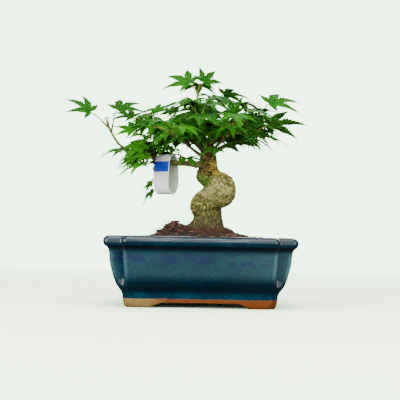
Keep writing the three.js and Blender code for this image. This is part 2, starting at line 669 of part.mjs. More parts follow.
function isClear(spots, others) {
  for (const mine of spots) {
    for (const theirs of others) {
      if (mine.at.distanceTo(theirs.at) < mine.radius + theirs.radius + SPOT_MARGIN) return false;
    }
  }
  return true;
}

const tries = TRY_TWISTS.flatMap((twist) => TRY_LIFTS.map((lift) => ({ twist, lift })))
  .map((one) => ({ ...one, effort: Math.abs(one.lift) + Math.abs(one.twist) * TWIST_EFFORT }))
  .sort((a, b) => a.effort - b.effort);

// Stalks of one shoot may meet, so a stalk is tested only against other shoots and the wood
function placeLeaf(leaf, shoot, taken) {
  for (const { twist, lift } of tries) {
    const hub = leaf.hub.clone().add(new THREE.Vector3(0, 0, lift));
    const tried = { ...leaf, hub, heading: leaf.heading + twist };
    const blade = bladeSpots(tried);
    const stalk = routeSpots(stalkCurve(shoot.to, tried), PETIOLE_RADIUS, 0.1, 0.85);
    if (taken.every(({ owner, spots }) => (
      isClear(blade, spots) && (owner === shoot || isClear(stalk, spots))))) {
      taken.push({ owner: shoot, spots: [...blade, ...stalk] });
      return tried;
    }
  }
  return null;
}

function fillLeaves(shoot, draw) {
  const from = vec(shoot.from);
  const heading = shoot.heading + draw(-12, 12);
  const to = from.clone().addScaledVector(headed(heading, shoot.rise), draw(...FILL_STEM));
  const leaves = [];
  for (let i = 0; i < shoot.leaves; i += 1) {
    const turn = shoot.heading + (i - (shoot.leaves - 1) / 2) * FILL_SPREAD + draw(-12, 12);
    const stalk = draw(...FILL_PETIOLE);
    const hub = headed(turn, draw(5, 45)).multiplyScalar(stalk).add(to);
    const lean = headed(turn, 0).multiplyScalar(draw(0, 0.35));
    leaves.push({
      hub,
      heading: turn,
      lean: [lean.x, lean.y - 0.1],
      length: draw(...FILL_LENGTH),
      lobes: draw(0, 1) < 0.35 ? 7 : 5,
    });
  }
  return { from, to, leaves };
}

function allShoots() {
  const [tagX, tagY, tagTop] = TAG_HANG;
  const tagLine = smooth([[tagX, tagY, tagTop - 2], [tagX, tagY, tagTop - TAG_DROP]]);
  const taken = [
    { spots: routeSpots(tagLine, TAG_ROOM) },
    { spots: routeSpots(smooth(TRUNK_NECK), NECK_ROOM) },
  ];
  for (const { route, radii } of Object.values(BRANCHES)) {
    taken.push({ spots: routeSpots(smooth(route), (radii[0] + radii[1]) / 2) });
  }
  const placed = PLACED_SHOOTS.map(({ from, to, leaves }) => ({
    from: vec(from),
    to: vec(to),
    leaves: leaves.map(([x, y, z, heading, leanX, leanY, length, lobes]) => (
      { hub: vec([x, y, z]), heading, lean: [leanX, leanY], length, lobes })),
  }));
  const shoots = [...placed, ...FILL_SHOOTS.map((shoot, i) => fillLeaves(shoot, drawer(DRAW_SEED + i)))];
  for (const shoot of shoots) {
    taken.push({ owner: shoot, spots: routeSpots(smooth([shoot.from, shoot.to]), STEM_RADIUS) });
  }
  for (const shoot of shoots) {
    shoot.leaves = shoot.leaves.map((leaf) => placeLeaf(leaf, shoot, taken)).filter((leaf) => leaf);
  }
  return shoots.filter((shoot) => shoot.leaves.length > 0);
}

// The spur that a shoot sits on, ending square a hair before the shoot's own stem
function spurEnd(shoot) {
  const out = shoot.to.clone().sub(shoot.from).normalize();
  return shoot.from.clone().addScaledVector(out, SPUR_LENGTH);
}

function shootGeometry(shoot) {
  const out = shoot.to.clone().sub(shoot.from).normalize();
  const start = spurEnd(shoot).addScaledVector(out, FIT_GAP);
  const end = shoot.to.clone().addScaledVector(out, 0.6);
  const parts = [tube([start, end], [STEM_RADIUS, STEM_RADIUS * 0.9], 4, 1)];
  for (const leaf of shoot.leaves) {
    parts.push(leafGeometry(leaf, shoot.to));
  }
  return toGeometry(fuse(parts));
}

function trunkGeometry(shoots) {
  const parts = [
    tube(TRUNK_BULGE, TRUNK_BULGE.map((p) => p[3]), 14, 9, 0.012),
    tube(TRUNK_NECK, TRUNK_NECK.map((p) => p[3]), 12, 12, 0.02),
  ];
  for (const { route, radii } of Object.values(BRANCHES)) {
    parts.push(tube(route, branchRadii(radii, route.length), radii[0] > 2 ? 5 : 4, route.length + 1));
  }
  for (const shoot of shoots) {
    parts.push(tube([shoot.from, spurEnd(shoot)], [SPUR_RADIUS, SPUR_RADIUS * 0.95], 4, 1));
  }
  parts.push(...trunkBaseParts(0));
  return toGeometry(fuse(parts));
}

// Materials
const glaze = new THREE.MeshStandardMaterial({ color: 0x1a4a63, roughness: 0.2, metalness: 0 });
const earth = new THREE.MeshStandardMaterial({ color: 0x3a2416, roughness: 0.95, metalness: 0 });
const bark = new THREE.MeshStandardMaterial({ color: 0x8f8660, roughness: 0.85, metalness: 0 });
const foliage = new THREE.MeshStandardMaterial({ color: 0x2c7a14, roughness: 0.5, metalness: 0 });
const screenPlastic = new THREE.MeshStandardMaterial({ color: 0x1c1c1c, roughness: 0.6, metalness: 0 });
const wireMetal = new THREE.MeshStandardMaterial({ color: 0xa89070, roughness: 0.4, metalness: 1 });
const tagPaper = new THREE.MeshStandardMaterial({ color: 0xf4f4f2, roughness: 0.6, metalness: 0 });

// Assembly
const plant = new THREE.Group();

function addPiece(name, geometry, material) {
  const mesh = new THREE.Mesh(geometry, material);
  mesh.name = name;
  plant.add(mesh);
}

const shoots = allShoots();
addPiece("pot", potGeometry(), glaze);
addPiece("soil", soilGeometry(), earth);
addPiece("trunk", trunkGeometry(shoots), bark);
addPiece("drain_screen_left", screenGeometry(-DRAIN_X), screenPlastic);
addPiece("drain_screen_right", screenGeometry(DRAIN_X), screenPlastic);
addPiece("screen_clip_left", clipGeometry(-DRAIN_X), wireMetal);
addPiece("screen_clip_right", clipGeometry(DRAIN_X), wireMetal);
addPiece("loop_tag", tagGeometry(), tagPaper);
shoots.forEach((shoot, i) => {
  addPiece(`leafy_shoot_${String(i + 1).padStart(2, "0")}`, shootGeometry(shoot), foliage);
});

// Moves the plant so that the origin is below its middle
const whole = new THREE.Box3().setFromObject(plant);
const middle = whole.getCenter(new THREE.Vector3());
plant.children.forEach((piece) => piece.geometry.translate(-middle.x, -middle.y, -whole.min.z));

export default plant;
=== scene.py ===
# A small Japanese maple bonsai: finishes, leaves, bark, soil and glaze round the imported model.
# Sizes are in millimetres with the origin under the middle of the pot, and become metres in the
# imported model's frame where a mesh is made. +X is to the right and -Y to the front.
import math
import random
from itertools import product

import bpy
import numpy as np
from mathutils import Matrix, Vector, noise


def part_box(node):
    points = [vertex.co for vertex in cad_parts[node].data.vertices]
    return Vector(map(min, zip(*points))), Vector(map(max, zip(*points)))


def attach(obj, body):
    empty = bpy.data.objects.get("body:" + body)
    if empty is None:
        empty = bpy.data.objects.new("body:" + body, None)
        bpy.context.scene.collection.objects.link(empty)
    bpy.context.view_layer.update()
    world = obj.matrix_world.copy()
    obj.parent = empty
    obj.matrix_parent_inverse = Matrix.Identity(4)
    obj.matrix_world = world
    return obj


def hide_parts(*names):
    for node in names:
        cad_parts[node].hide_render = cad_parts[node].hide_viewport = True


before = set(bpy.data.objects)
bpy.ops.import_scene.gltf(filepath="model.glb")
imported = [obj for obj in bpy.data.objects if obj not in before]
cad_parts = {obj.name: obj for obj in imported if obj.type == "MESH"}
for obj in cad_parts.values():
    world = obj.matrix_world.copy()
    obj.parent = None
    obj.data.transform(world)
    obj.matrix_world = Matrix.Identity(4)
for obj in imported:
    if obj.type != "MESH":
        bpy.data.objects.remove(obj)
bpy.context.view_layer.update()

# Random draws
SEEDS = {"grains": 3, "moss": 5, "litter": 11, "branches": 21, "inner": 77, "shoot": 100}
WHOLE_TURN = 6.28                # radians

pot_low, pot_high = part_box("pot")
POT_MIDDLE = np.array([(pot_low[0] + pot_high[0]) / 2, (pot_low[1] + pot_high[1]) / 2, 0]) * 1000

# Camera, found from the pot's perspective in the photograph
PHOTO_SIZE = 400                 # pixels each way
EYE = (0, -1010, 65.3)
FOCAL_PIXELS = 1085
SENSOR_WIDTH = 36
EYE_COLUMN = 201
EYE_ROW = 235
ROLL = 1.0                       # degrees that the picture is turned clockwise

# Surroundings, as linear colours
BACKDROP = (4.0, 6.4, 4.1, 1)
FLOOR_SEEN = (1.15, 1.45, 1.0, 1)
FLOOR_MIRRORED = (0.05, 0.045, 0.04, 1)
FLOOR_FADE = (350, 1300)         # the floor turns into the backdrop between these distances
FLOOR_REACH = 6                  # metres
SKY_LOW = (0.08, 0.085, 0.08, 1)
SKY_HIGH = (0.9, 0.93, 0.9, 1)
SKY_RISE = (-0.3, 0.9)           # sines of the angles above the horizon where SKY_LOW and SKY_HIGH are

# Pot
POT_DEPTH_LESS = 19              # half depth is half width less this
FLOOR_UNDER = 5
FLOOR_TOP = 11
FOOT_WALL = 8
SOIL_EDGE = 59                   # height of the soil at the wall
POT_PROFILE = [                  # height, half width, notch at the corners
    (0, 66, 3.4), (1.6, 67.4, 3.4), (7, 68.9, 3.4), (12.5, 69.6, 3.4), (15.5, 71.2, 4.4), (19.5, 74.2, 7),
    (25, 76.8, 10), (32, 79, 12), (41, 81, 13.2), (50, 81.9, 13.5),
    (53, 83.1, 14.5), (55.2, 85.8, 16.5), (58, 87, 17.5), (60.8, 86.7, 17.5), (62.8, 85, 17),
    (63.8, 82.8, 16.5),
]
CAVITY_PROFILE = [               # from the floor up to the rim's inner edge
    (FLOOR_TOP, 63, 10.5), (32, 72.8, 13.5), (50.8, 76, 13.5), (SOIL_EDGE, 77.6, 14), (62.9, 80.2, 15),
    (63.8, 81.6, 16),
]
PROFILE_PARTS = (5, 3)           # smooth steps between two of their points: outside, and inside
CORNER_ROUND = 3                 # at the feet, where the notch is smallest
FOOT_NOTCH = 3.3
CORNER_GROWTH = 0.15             # by a millimetre of notch
INNER_ROUND = 2.4
CORNER_PALE = 4.6                # reach of the paler thin glaze and the painted highlight at a corner
ARCH_FRONT = (43, 34.5)          # half length of the gap between two feet, floor and top
ARCH_SIDE = (27, 20)
DRAIN_X = 38
DRAIN_RADIUS = 9
DRAIN_SIDES = 40
GLAZE_END = 7.9                  # height where the glaze stops above the bare clay

# Soil and what lies on it
SOIL_RISE = 11.5
SOIL_SPREAD = (46, 36)
SOIL_GAP = 0.3                   # to the pot
SOIL_SIDES = 380
SOIL_RINGS = 62
SOIL_HALVES = (76, 57)           # half length and half width of the ground that grains lie on
SOIL_CORNER = (62, 43)           # past both of these is a corner of the wall
HEAP = {"x": -26, "y": -12, "rise": 8.5, "radius": 11}
GRAINS = 2600
GRAIN_SIZE = (0.7, 2.1)
MOSS_RINGS = (                   # cushions, distances from the trunk, sector in degrees, height
    (50, (18, 31), (0, 360), (0.8, 1.8)),
    (64, (16.5, 25), (240, 345), (2.8, 5.2)),
)
MOSS_ON_HEAP = 16
MOSS_RADIUS = (2, 4.5)
MOSS_DENSITY = 6                 # leaflets by the square of a cushion's radius
MOSS_LEAF = ((0.22, 0.42), (1.1, 2.3))   # width and height
DEAD_LEAVES = 150                # half of them on the heap
DEAD_LEAF_LIFT = (0.3, 2.4)
DEAD_LEAF_CURL = (0.4, 1.4)
DEAD_LEAF_PARTS = 4
DEAD_LEAF = ((2, 6), (0.7, 1.7)) # length and half width
TWIG_ENDS = 26
TWIG_LENGTH = (5, 12)
DRY_STALKS = 34
DRY_STALK_LENGTH = (4, 11)

# Trunk: three stretches, each point x, y, z, radius
TRUNK_FOOT = [
    (4.6, 2, 52, 14), (4.6, 2, 62, 18.5), (4.8, 2, 68, 18.6), (5.4, 2, 75, 15.4), (5.4, 3, 83, 12.9),
    (4.6, 3, 90, 13.2), (6.4, 1, 96, 12.8), (11.5, -3, 100.5, 12), (16.5, -6, 104, 10),
]
TRUNK_BULGE = [
    (7, -2, 97, 8), (12.5, -6, 101.3, 12.6), (17.6, -7.5, 105.6, 13.7), (16.6, -3, 111.4, 12.6),
    (11.5, 3, 115.5, 9),
]
TRUNK_NECK = [
    (15, 1, 111, 8), (11, 5.5, 116.6, 10.6), (6.8, 6, 122, 9.4), (5.9, 3, 128.5, 8.5),
    (5.6, 1, 135, 7.8), (4.4, 0, 142.5, 6.2), (2.6, 0, 149, 4.6), (0, 1.6, 157, 3.4),
]
ROOTS = [
    [(0, 2, 74, 7), (-9, -1, 71, 5.5), (-17, -4, 66, 4), (-24, -6, 58, 2.6)],
    [(8, 0, 73, 7), (17, -3, 69, 5.5), (24, -5, 63, 3.8), (29, -6, 56, 2.6)],
    [(4, -4, 73, 7), (1, -12, 70, 5), (-3, -19, 64, 3.6), (-6, -24, 57, 2.6)],
    [(8, 6, 73, 7), (13, 15, 70, 5), (17, 22, 63, 3.6), (20, 27, 56, 2.6)],
    [(2, 6, 73, 7), (-5, 15, 69, 5), (-10, 22, 62, 3.6), (-13, 27, 55, 2.6)],
]
# One more that shows on the left, over the first of them
SURFACE_ROOT = [(-2, 0, 77, 7), (-6.5, -3, 73.5, 5.5), (-11, -6, 70, 4.4), (-17, -9, 64, 3.4)]

# Branches: radii at both ends, and a route
BRANCHES = {
    "left": ((4.4, 1.2), [
        (2, 0, 130.5), (-11, -8, 131), (-22, -16, 131), (-33, -10.5, 131.8), (-42, -5, 134),
        (-52, -4, 138.5), (-63.5, -8, 140.5), (-74.5, -12, 145.5), (-81, -14, 153), (-84, -15, 158.5),
        (-86.5, -15, 162.5)]),
    "upper_left": ((3.4, 1.1), [
        (3, 0, 141), (-7, -4, 150.5), (-20, -6, 158.5), (-32, -6, 163), (-42.5, -6, 166), (-52.5, -8, 169)]),
    "apex": ((3.6, 1.2), [(1, 1, 152), (-1.5, 2, 161), (-3, 2, 171), (-4.5, 1, 182), (-5.5, 0, 192)]),
    "right_upper": ((3, 1.1), [
        (3, 2, 145), (12.4, 4, 156), (23.6, 4, 162), (37.5, 2, 164.4), (47.6, 0, 166.7), (54.8, -2, 171.3)]),
    "right_lower": ((2.8, 1), [
        (5, -2, 138), (16, -8, 146), (28, -12, 151.4), (37, -14, 154.6), (45, -16, 158)]),
    "back_left": ((3, 1), [(3, 2, 143), (-6, 18, 155), (-18, 32, 163), (-30, 42, 168)]),
    "back_right": ((3, 1), [(4, 2, 143), (12, 20, 154), (20.5, 36, 161), (29, 47, 165)]),
    "back": ((2.8, 1), [(1, 2, 149), (1, 20, 162), (-2, 34, 172), (-4, 44, 179)]),
    "front_left": ((2.8, 1), [(3, -3, 136), (-7, -19, 142), (-15, -31, 147), (-21, -40, 151)]),
    "front_right": ((2.8, 1), [(5, -3, 140), (13, -20, 147), (20, -32, 152), (26, -39, 156)]),
    "front": ((2.4, 1), [(2, -2, 148), (1, -15, 157), (-1, -26, 165)]),
    "low_left": ((1.8, 1), [(-48, -4.4, 136.6), (-51, -14, 135), (-50, -24, 131)]),
    "cut_twig_a": ((1.1, 0.8), [(-86, -15, 161.7), (-88, -11.5, 166.5), (-90, -10.5, 171.5)]),
    "cut_twig_b": ((1.1, 0.8), [(-85.4, -15, 160.7), (-86.6, -18, 166.5), (-87, -18.5, 171)]),
}
BRANCH_TAPER = 2
BRANCH_SLIM = 0.72               # the wood as drawn, by the radii above
BRANCH_LEAST = 0.1
NODE_GAP = 11
NODE_SWELL = 0.22
BRANCH_STEP = 1.1
BRANCH_UNEVEN = 0.05
SIDE_BUD = 1.5
BUD_GAP = 0.7                    # from the branch's middle
OLIVE_BRANCHES = ("left", "low_left", "cut_twig_a", "cut_twig_b")

# Bark
BULGE_MIDDLE = (15.5, -6, 105)
BULGE_REACH = 17.5
BARK_VOXEL = 0.58
HOLLOW_REACH = 14                # edges of the bark's mesh over which its hollows are measured
BARK_TOP = 140                   # above it the branches' bark is nearly smooth
RINGED = (114, 131)              # heights with deeper rings round the neck
TRUNK_BRANCH = 2                 # a branch with at least this radius starts in the trunk's mesh

# Leaves
LEAF_RISE = 0.2
LEAF_DROOP = 0.36
LEAF_FOLD = 0.25                 # how steeply a lobe's halves rise from its vein
LEAF_RIPPLE = 0.2
LEAF_CUSHION = 0.12              # rise of a lobe's halves between vein and edge
LOBE_ROOM = 0.135                # half width that is kept free for a lobe, by its length
LOBE_WIDTH = 0.142               # half width as drawn
LOBES = {
    5: ((-92, -45, 0, 45, 92), (0.56, 0.88, 1, 0.88, 0.56)),
    7: ((-122, -80, -39, 0, 39, 80, 122), (0.4, 0.7, 0.92, 1, 0.92, 0.7, 0.4)),
}
VALLEY = 0.22
OUTER_VALLEY = 28
LOBE_WIDEST = 0.48
LOBE_TEETH = 8
TOOTH_SWELL = (1.14, 0.82)       # width on a tooth's tip and in the notch after it, by the smooth lobe's
TIP_POWER = 1.25                 # how a lobe's width falls towards its tip
LEAF_MARKS = ("tone", "across", "along", "under")
BLADE_THICK = 0.35
PETIOLE_RADIUS = 0.7             # kept free round a stalk; the stalk itself is slimmer
STALK_RADIUS = (0.62, 0.45)      # at the stem and at the blade
STALK_ARCH = 0.1
STALK_SINK = 0.45                # into the blade's hub
STEM_RADIUS = 1
SPUR_RADIUS = 1.2
SPUR_LENGTH = 3.5
SPUR_GAP = 0.3                   # between a spur's end and its shoot
END_BUD = 2.2

# Shoots that show in front: start, stem end, and five-lobed leaves as hub x, y, z, heading,
# lean x, lean y, length
PLACED_SHOOTS = [
    ((-86.5, -15, 162.5), (-91, -15, 166.5), [(-103.4, -15, 176.9, 154, 0.6, -1, 27)]),
    ((-84, -15, 158.5), (-82.5, -19.5, 163.5), [(-77.7, -20, 178.3, 49, 0, -0.67, 30)]),
    ((-52.5, -8, 169), (-57, -9, 171), [
        (-64.5, -12, 172.6, 145, 0.07, -0.58, 24), (-42.3, -4, 178.6, 79, -0.34, -0.72, 21)]),
    ((-42.5, -6, 166), (-49, -11, 165), [
        (-63.9, -18, 159.4, 143, 0, -0.91, 21), (-51.3, -28, 153.5, 225, 0.26, -0.22, 20)]),
    ((-52, -4, 138.5), (-52.5, -12, 144), [
        (-51.8, -19, 150.2, 126, -0.7, -0.65, 18), (-41, -24, 147.5, 320, 0, -0.5, 23)]),
    ((-50, -24, 131), (-51.5, -28.5, 129.5), [
        (-52.6, -41, 127.5, 192, -0.3, -0.3, 26), (-47.8, -41, 134.7, 184, 0, -0.45, 19)]),
    ((-42, -5, 134), (-45, 1, 127), [
        (-46.6, 4, 113.1, 177, -1, -0.8, 14.5), (-45.2, 10, 106.2, 205, -0.9, -0.5, 18)]),
    ((-5.5, 0, 192), (-5.5, 0, 197), [
        (0.1, -3, 207.2, 81, 0.43, -1.6, 23), (-13.2, -1, 206, 131, -0.1, -1, 29.6),
        (-4, 9, 207, 95, 0, 0.3, 26)]),
    ((-4.5, 1, 182), (-5, -5, 185), [
        (-5.6, -10, 187.6, 230, -0.12, -0.13, 32), (5.1, 0, 187.5, 330, 0.05, -0.35, 27)]),
    ((23.6, 4, 162), (25, -3, 169), [
        (29.2, -22, 176.1, 71, -1.5, -2.3, 23), (19, -1, 196, 336, 0.2, 0.3, 27.5)]),
    ((54.8, -2, 171.3), (57, -3, 177), [
        (61, -6, 188.1, 29, 0.05, -0.64, 35), (54, -9, 179.7, 247, 0.04, 0.11, 24.5)]),
    ((45, -16, 158), (49.5, -17.5, 160.5), [
        (60.5, -20, 166.4, 343, 0.02, 0.57, 36.3), (49.8, -33, 164.6, 305, 0, -0.15, 25)]),
    ((16, -8, 146), (17, -15, 145), [
        (20.6, -31, 144.8, 14, -0.25, 0.13, 31.5), (13.9, -33, 142.3, 213, 0, -0.4, 21)]),
    ((-32, -6, 163), (-33, -1, 170), [
        (-27.3, 3, 179.4, 139, -0.12, -0.66, 20), (-22.1, -6, 173.4, 320, 0, -0.35, 25)]),
    ((-7, -4, 150.5), (-8, -12, 152.5), [
        (-14.9, -34, 159.3, 247, 0, -0.4, 22), (-2, -26, 152, 285, 0, -0.4, 22)]),
    ((-22, -16, 131), (-20, -20, 136), [
        (-26.2, -19, 143.6, 220, 0, -0.4, 20), (-14, -27, 135, 290, 0, -0.4, 20)]),
]

# Shoots that fill the crown: start, heading, rise, leaves
FILL_SHOOTS = [
    ((-15, -31, 147), 330, 50, 2), ((-3, 2, 171), 20, 35, 3), ((-1.5, 2, 161), 165, 30, 2),
    ((37.5, 2, 164.4), 75, 35, 3), ((28, -12, 151.4), 300, 55, 3), ((-30, 42, 168), 125, 25, 3),
    ((-18, 32, 163), 212, 40, 3), ((29, 47, 165), 60, 25, 3), ((20.5, 36, 161), 0, 30, 3),
    ((-4, 44, 179), 100, 35, 3), ((-21, -40, 151), 235, 20, 3), ((26, -39, 156), 285, 60, 3),
    ((-1, -26, 165), 262, 35, 3), ((12, 20, 154), 330, 10, 3),
]
FILL_STEM = (7, 12)
FILL_PETIOLE = (12, 20)
FILL_LENGTH = (24, 31)
FILL_SPREAD = 62
DRAW_SEED = 20
TRY_TWISTS = (0, 12, -12, 24, -24, 40, -40, 60, -60)
TRY_LIFTS = (0, 2, -2, 4, -4, 6, -6, 9, -9, 12, -12, 16)
TWIST_EFFORT = 0.15
SPOT_STEP = 3
SPOT_RADIUS = 1.3
SPOT_MARGIN = 1
NEAR_ENOUGH = 75                 # spots past this distance from a hub can't touch its leaf
STALK_STRETCH = (0.1, 0.85)      # of a stalk, that has to be clear
FILL_SWING = 12
FILL_RISE = (5, 45)
FILL_LEAN = 0.35
TAG_ROOM = 9.5
NECK_ROOM = 7.8

# Small leaves that fill the crown's inside
INNER_SEED = 4
INNER_TRIES = 6400
INNER_LEAVES = 172
INNER_BRANCHES = (               # branch, and the stretch of it that carries them
    ("upper_left", 0.2, 0.95), ("upper_left", 0.2, 0.95), ("apex", 0.2, 0.8), ("right_upper", 0.3, 0.95),
    ("right_upper", 0.3, 0.95), ("right_lower", 0.3, 0.95), ("back_left", 0.3, 0.9),
    ("back_right", 0.3, 0.9), ("back", 0.3, 0.9), ("front_left", 0.4, 0.95), ("front_right", 0.4, 0.95),
    ("front", 0.4, 0.95), ("left", 0.25, 0.55), ("left", 0.25, 0.55), ("low_left", 0, 0.8),
    ("left", 0.3, 0.6), ("low_left", 0.2, 1), ("low_left", 0.2, 1),
)
INNER_STALK = (6, 15)
INNER_LENGTH = (16, 27)
INNER_LOW = (120, 144)           # they stay above these heights: on the left, and elsewhere
INNER_LEFT = -14
INNER_RIGHT = 44                 # beyond this there are fewer of them
INNER_SKIPPED = 0.65
INNER_TURN = 70                  # spread of their headings round the way out of the crown
INNER_RISE = (-10, 65)
CROWN_X = 3                      # the crown's middle
INNER_MARGIN = -2.6              # real blades are thin, so these may lie closer than the shoots'

# Leaf colours: darker above a height and paler below it, within limits: painted shade high in the crown and
# painted light lower down
TONE_HEIGHT = 164
TONE_REACH = 45
TONE_LIMITS = (-0.16, 0.3)
TONE_SPREAD = 0.14

# Tag
TAG_WIDTH = 17.6
TAG_THICK = 0.8
TAG_HANG = (-33, -10.5, 131.8)
TAG_TOP = 6.3
TAG_DROP = 28.8
TAG_BELLY = 7.2
TAG_YAW = -38
TAG_BAND = (-9.2, -0.4)          # lowest and highest height of the blue band, from TAG_HANG
TAG_SOFT = 0.25                  # width of the bevel along its edges
TAG_STEPS = 18                   # along each quarter of the loop
TAG_CLEAR = (13, 7)              # no inner leaf hangs in front of it: half width, and rise over TAG_HANG

# Lights, in metres and watts: place, aim, size, power
AIM = (0, 0, 0.12)
LIGHTS = {
    "overhead": ((0.05, -0.35, 1.3), AIM, 1.2, 32),
    "front_right": ((1.1, -1.0, 0.45), AIM, 0.9, 18),
    "front_left": ((-1.1, -0.95, 0.45), AIM, 0.9, 38),
    "front": ((0, -2.6, 1.1), AIM, 3.0, 70),
    "behind": ((0.3, 1.4, 0.7), AIM, 1.0, 16),
    "left_window": ((-0.13, -1.1, 0.6), (-0.065, 0, 0.06), 0.09, 0.9),
    "right_window": ((0.135, -1.1, 0.6), (0.0675, 0, 0.06), 0.09, 0.9),
}


def shade(red, green, blue):
    """A colour of 0 to 255 in sRGB as the linear one that shaders take."""
    parts = [c / 255 for c in (red, green, blue)]
    return tuple(c / 12.92 if c < 0.04045 else ((c + 0.055) / 1.055) ** 2.4 for c in parts) + (1,)


class Nodes:
    """Adds shader nodes to a tree by calls. Lengths are in millimetres."""

    def __init__(self, tree):
        self.tree = tree

    def node(self, kind, inputs, **settings):
        made = self.tree.nodes.new(kind)
        for key, value in settings.items():
            setattr(made, key, value)
        for key, value in inputs.items():
            if isinstance(value, bpy.types.NodeSocket):
                self.tree.links.new(value, made.inputs[key])
            else:
                made.inputs[key].default_value = value
        return made

    def place(self, stretch=(1, 1, 1)):
        coordinates = self.node("ShaderNodeTexCoord", {}).outputs["Object"]
        scale = tuple(1000 * s for s in stretch)
        return self.node("ShaderNodeVectorMath", {0: coordinates, 1: scale}, operation="MULTIPLY").outputs[0]

    def axis(self, name):
        """The distance along an axis from the pot's middle, at the height where it stands."""
        inputs = {0: self.place(), 1: tuple(POT_MIDDLE)}
        place = self.node("ShaderNodeVectorMath", inputs, operation="SUBTRACT").outputs[0]
        return self.node("ShaderNodeSeparateXYZ", {0: place}).outputs[name]

    def seen(self):
        """1 for what shows in the picture itself, 0 for what is mirrored or gives light."""
        return self.node("ShaderNodeLightPath", {}).outputs["Is Camera Ray"]

    def mark(self, name):
        return self.node("ShaderNodeAttribute", {}, attribute_name=name).outputs["Fac"]

    def noise(self, size, detail=3, rough=0.55, stretch=(1, 1, 1), warp=0):
        settings = {"Vector": self.place(stretch), "Scale": 1 / size, "Detail": detail, "Roughness": rough}
        return self.node("ShaderNodeTexNoise", {**settings, "Distortion": warp}).outputs[0]

    def cells(self, size):
        settings = {"Vector": self.place(), "Scale": 1 / size}
        return self.node("ShaderNodeTexVoronoi", settings).outputs["Distance"]

    def math(self, operation, first, second=0.0):
        return self.node("ShaderNodeMath", {0: first, 1: second}, operation=operation).outputs[0]

    def times(self, first, second):
        return self.math("MULTIPLY", first, second)

    def total(self, *parts):
        """The sum of values that are each multiplied by their share."""
        found = self.times(*parts[0])
        for value, share in parts[1:]:
            found = self.math("ADD", found, self.times(value, share))
        return found

    def between(self, value, none, full):
        """0 up to none, 1 from full on and smooth between. full may be the lower one."""
        settings = {"Value": value, "From Min": none, "From Max": full}
        return self.node("ShaderNodeMapRange", settings, interpolation_type="SMOOTHSTEP").outputs[0]

    def band(self, value, rise, fall):
        """1 inside a band of values, with an edge on each side as between takes it."""
        return self.times(self.between(value, *rise), self.between(value, *fall))

    def ramp(self, value, *stops):
        """A colour by a value, from stops that each have a place and an sRGB colour."""
        made = self.node("ShaderNodeValToRGB", {0: value})
        elements = made.color_ramp.elements
        while len(elements) < len(stops):
            elements.new(0.5)
        for element, (position, colour) in zip(elements, stops):
            element.position = position
            element.color = shade(*colour)
        return made.outputs[0]

    def mix(self, factor, first, second):
        made = self.node("ShaderNodeMix", {0: factor, 6: first, 7: second}, data_type="RGBA")
        return made.outputs[2]

    def tint(self, base, colour, where, strength=1):
        """The base with an sRGB colour laid over it where the value is 1."""
        return self.mix(self.times(where, strength), base, shade(*colour))

    def blend(self, factor, first, second):
        """A number between two others."""
        return self.node("ShaderNodeMix", {0: factor, 2: first, 3: second}, data_type="FLOAT").outputs[0]


class Look(Nodes):
    """A material. The values given by name are the same all over it."""

    def __init__(self, name, **fixed):
        self.material = bpy.data.materials.new(name)
        self.material.use_nodes = True
        super().__init__(self.material.node_tree)
        self.shader = self.tree.nodes["Principled BSDF"]
        for socket, value in fixed.items():
            self.shader.inputs[socket.replace("_", " ").title().replace("Ior", "IOR")].default_value = value

    def drive(self, **sockets):
        """Links values that vary over the surface, such as Base_Color."""
        for name, socket in sockets.items():
            self.tree.links.new(socket, self.shader.inputs[name.replace("_", " ")])

    def relief(self, *layers):
        """Bump from (height, depth) layers, each depth the height of a full step in the value."""
        normal = None
        for height, depth in layers:
            inputs = {"Height": height, "Distance": depth / 1000, "Strength": 1}
            if normal is not None:
                inputs["Normal"] = normal
            normal = self.node("ShaderNodeBump", inputs).outputs[0]
        self.tree.links.new(normal, self.shader.inputs["Normal"])


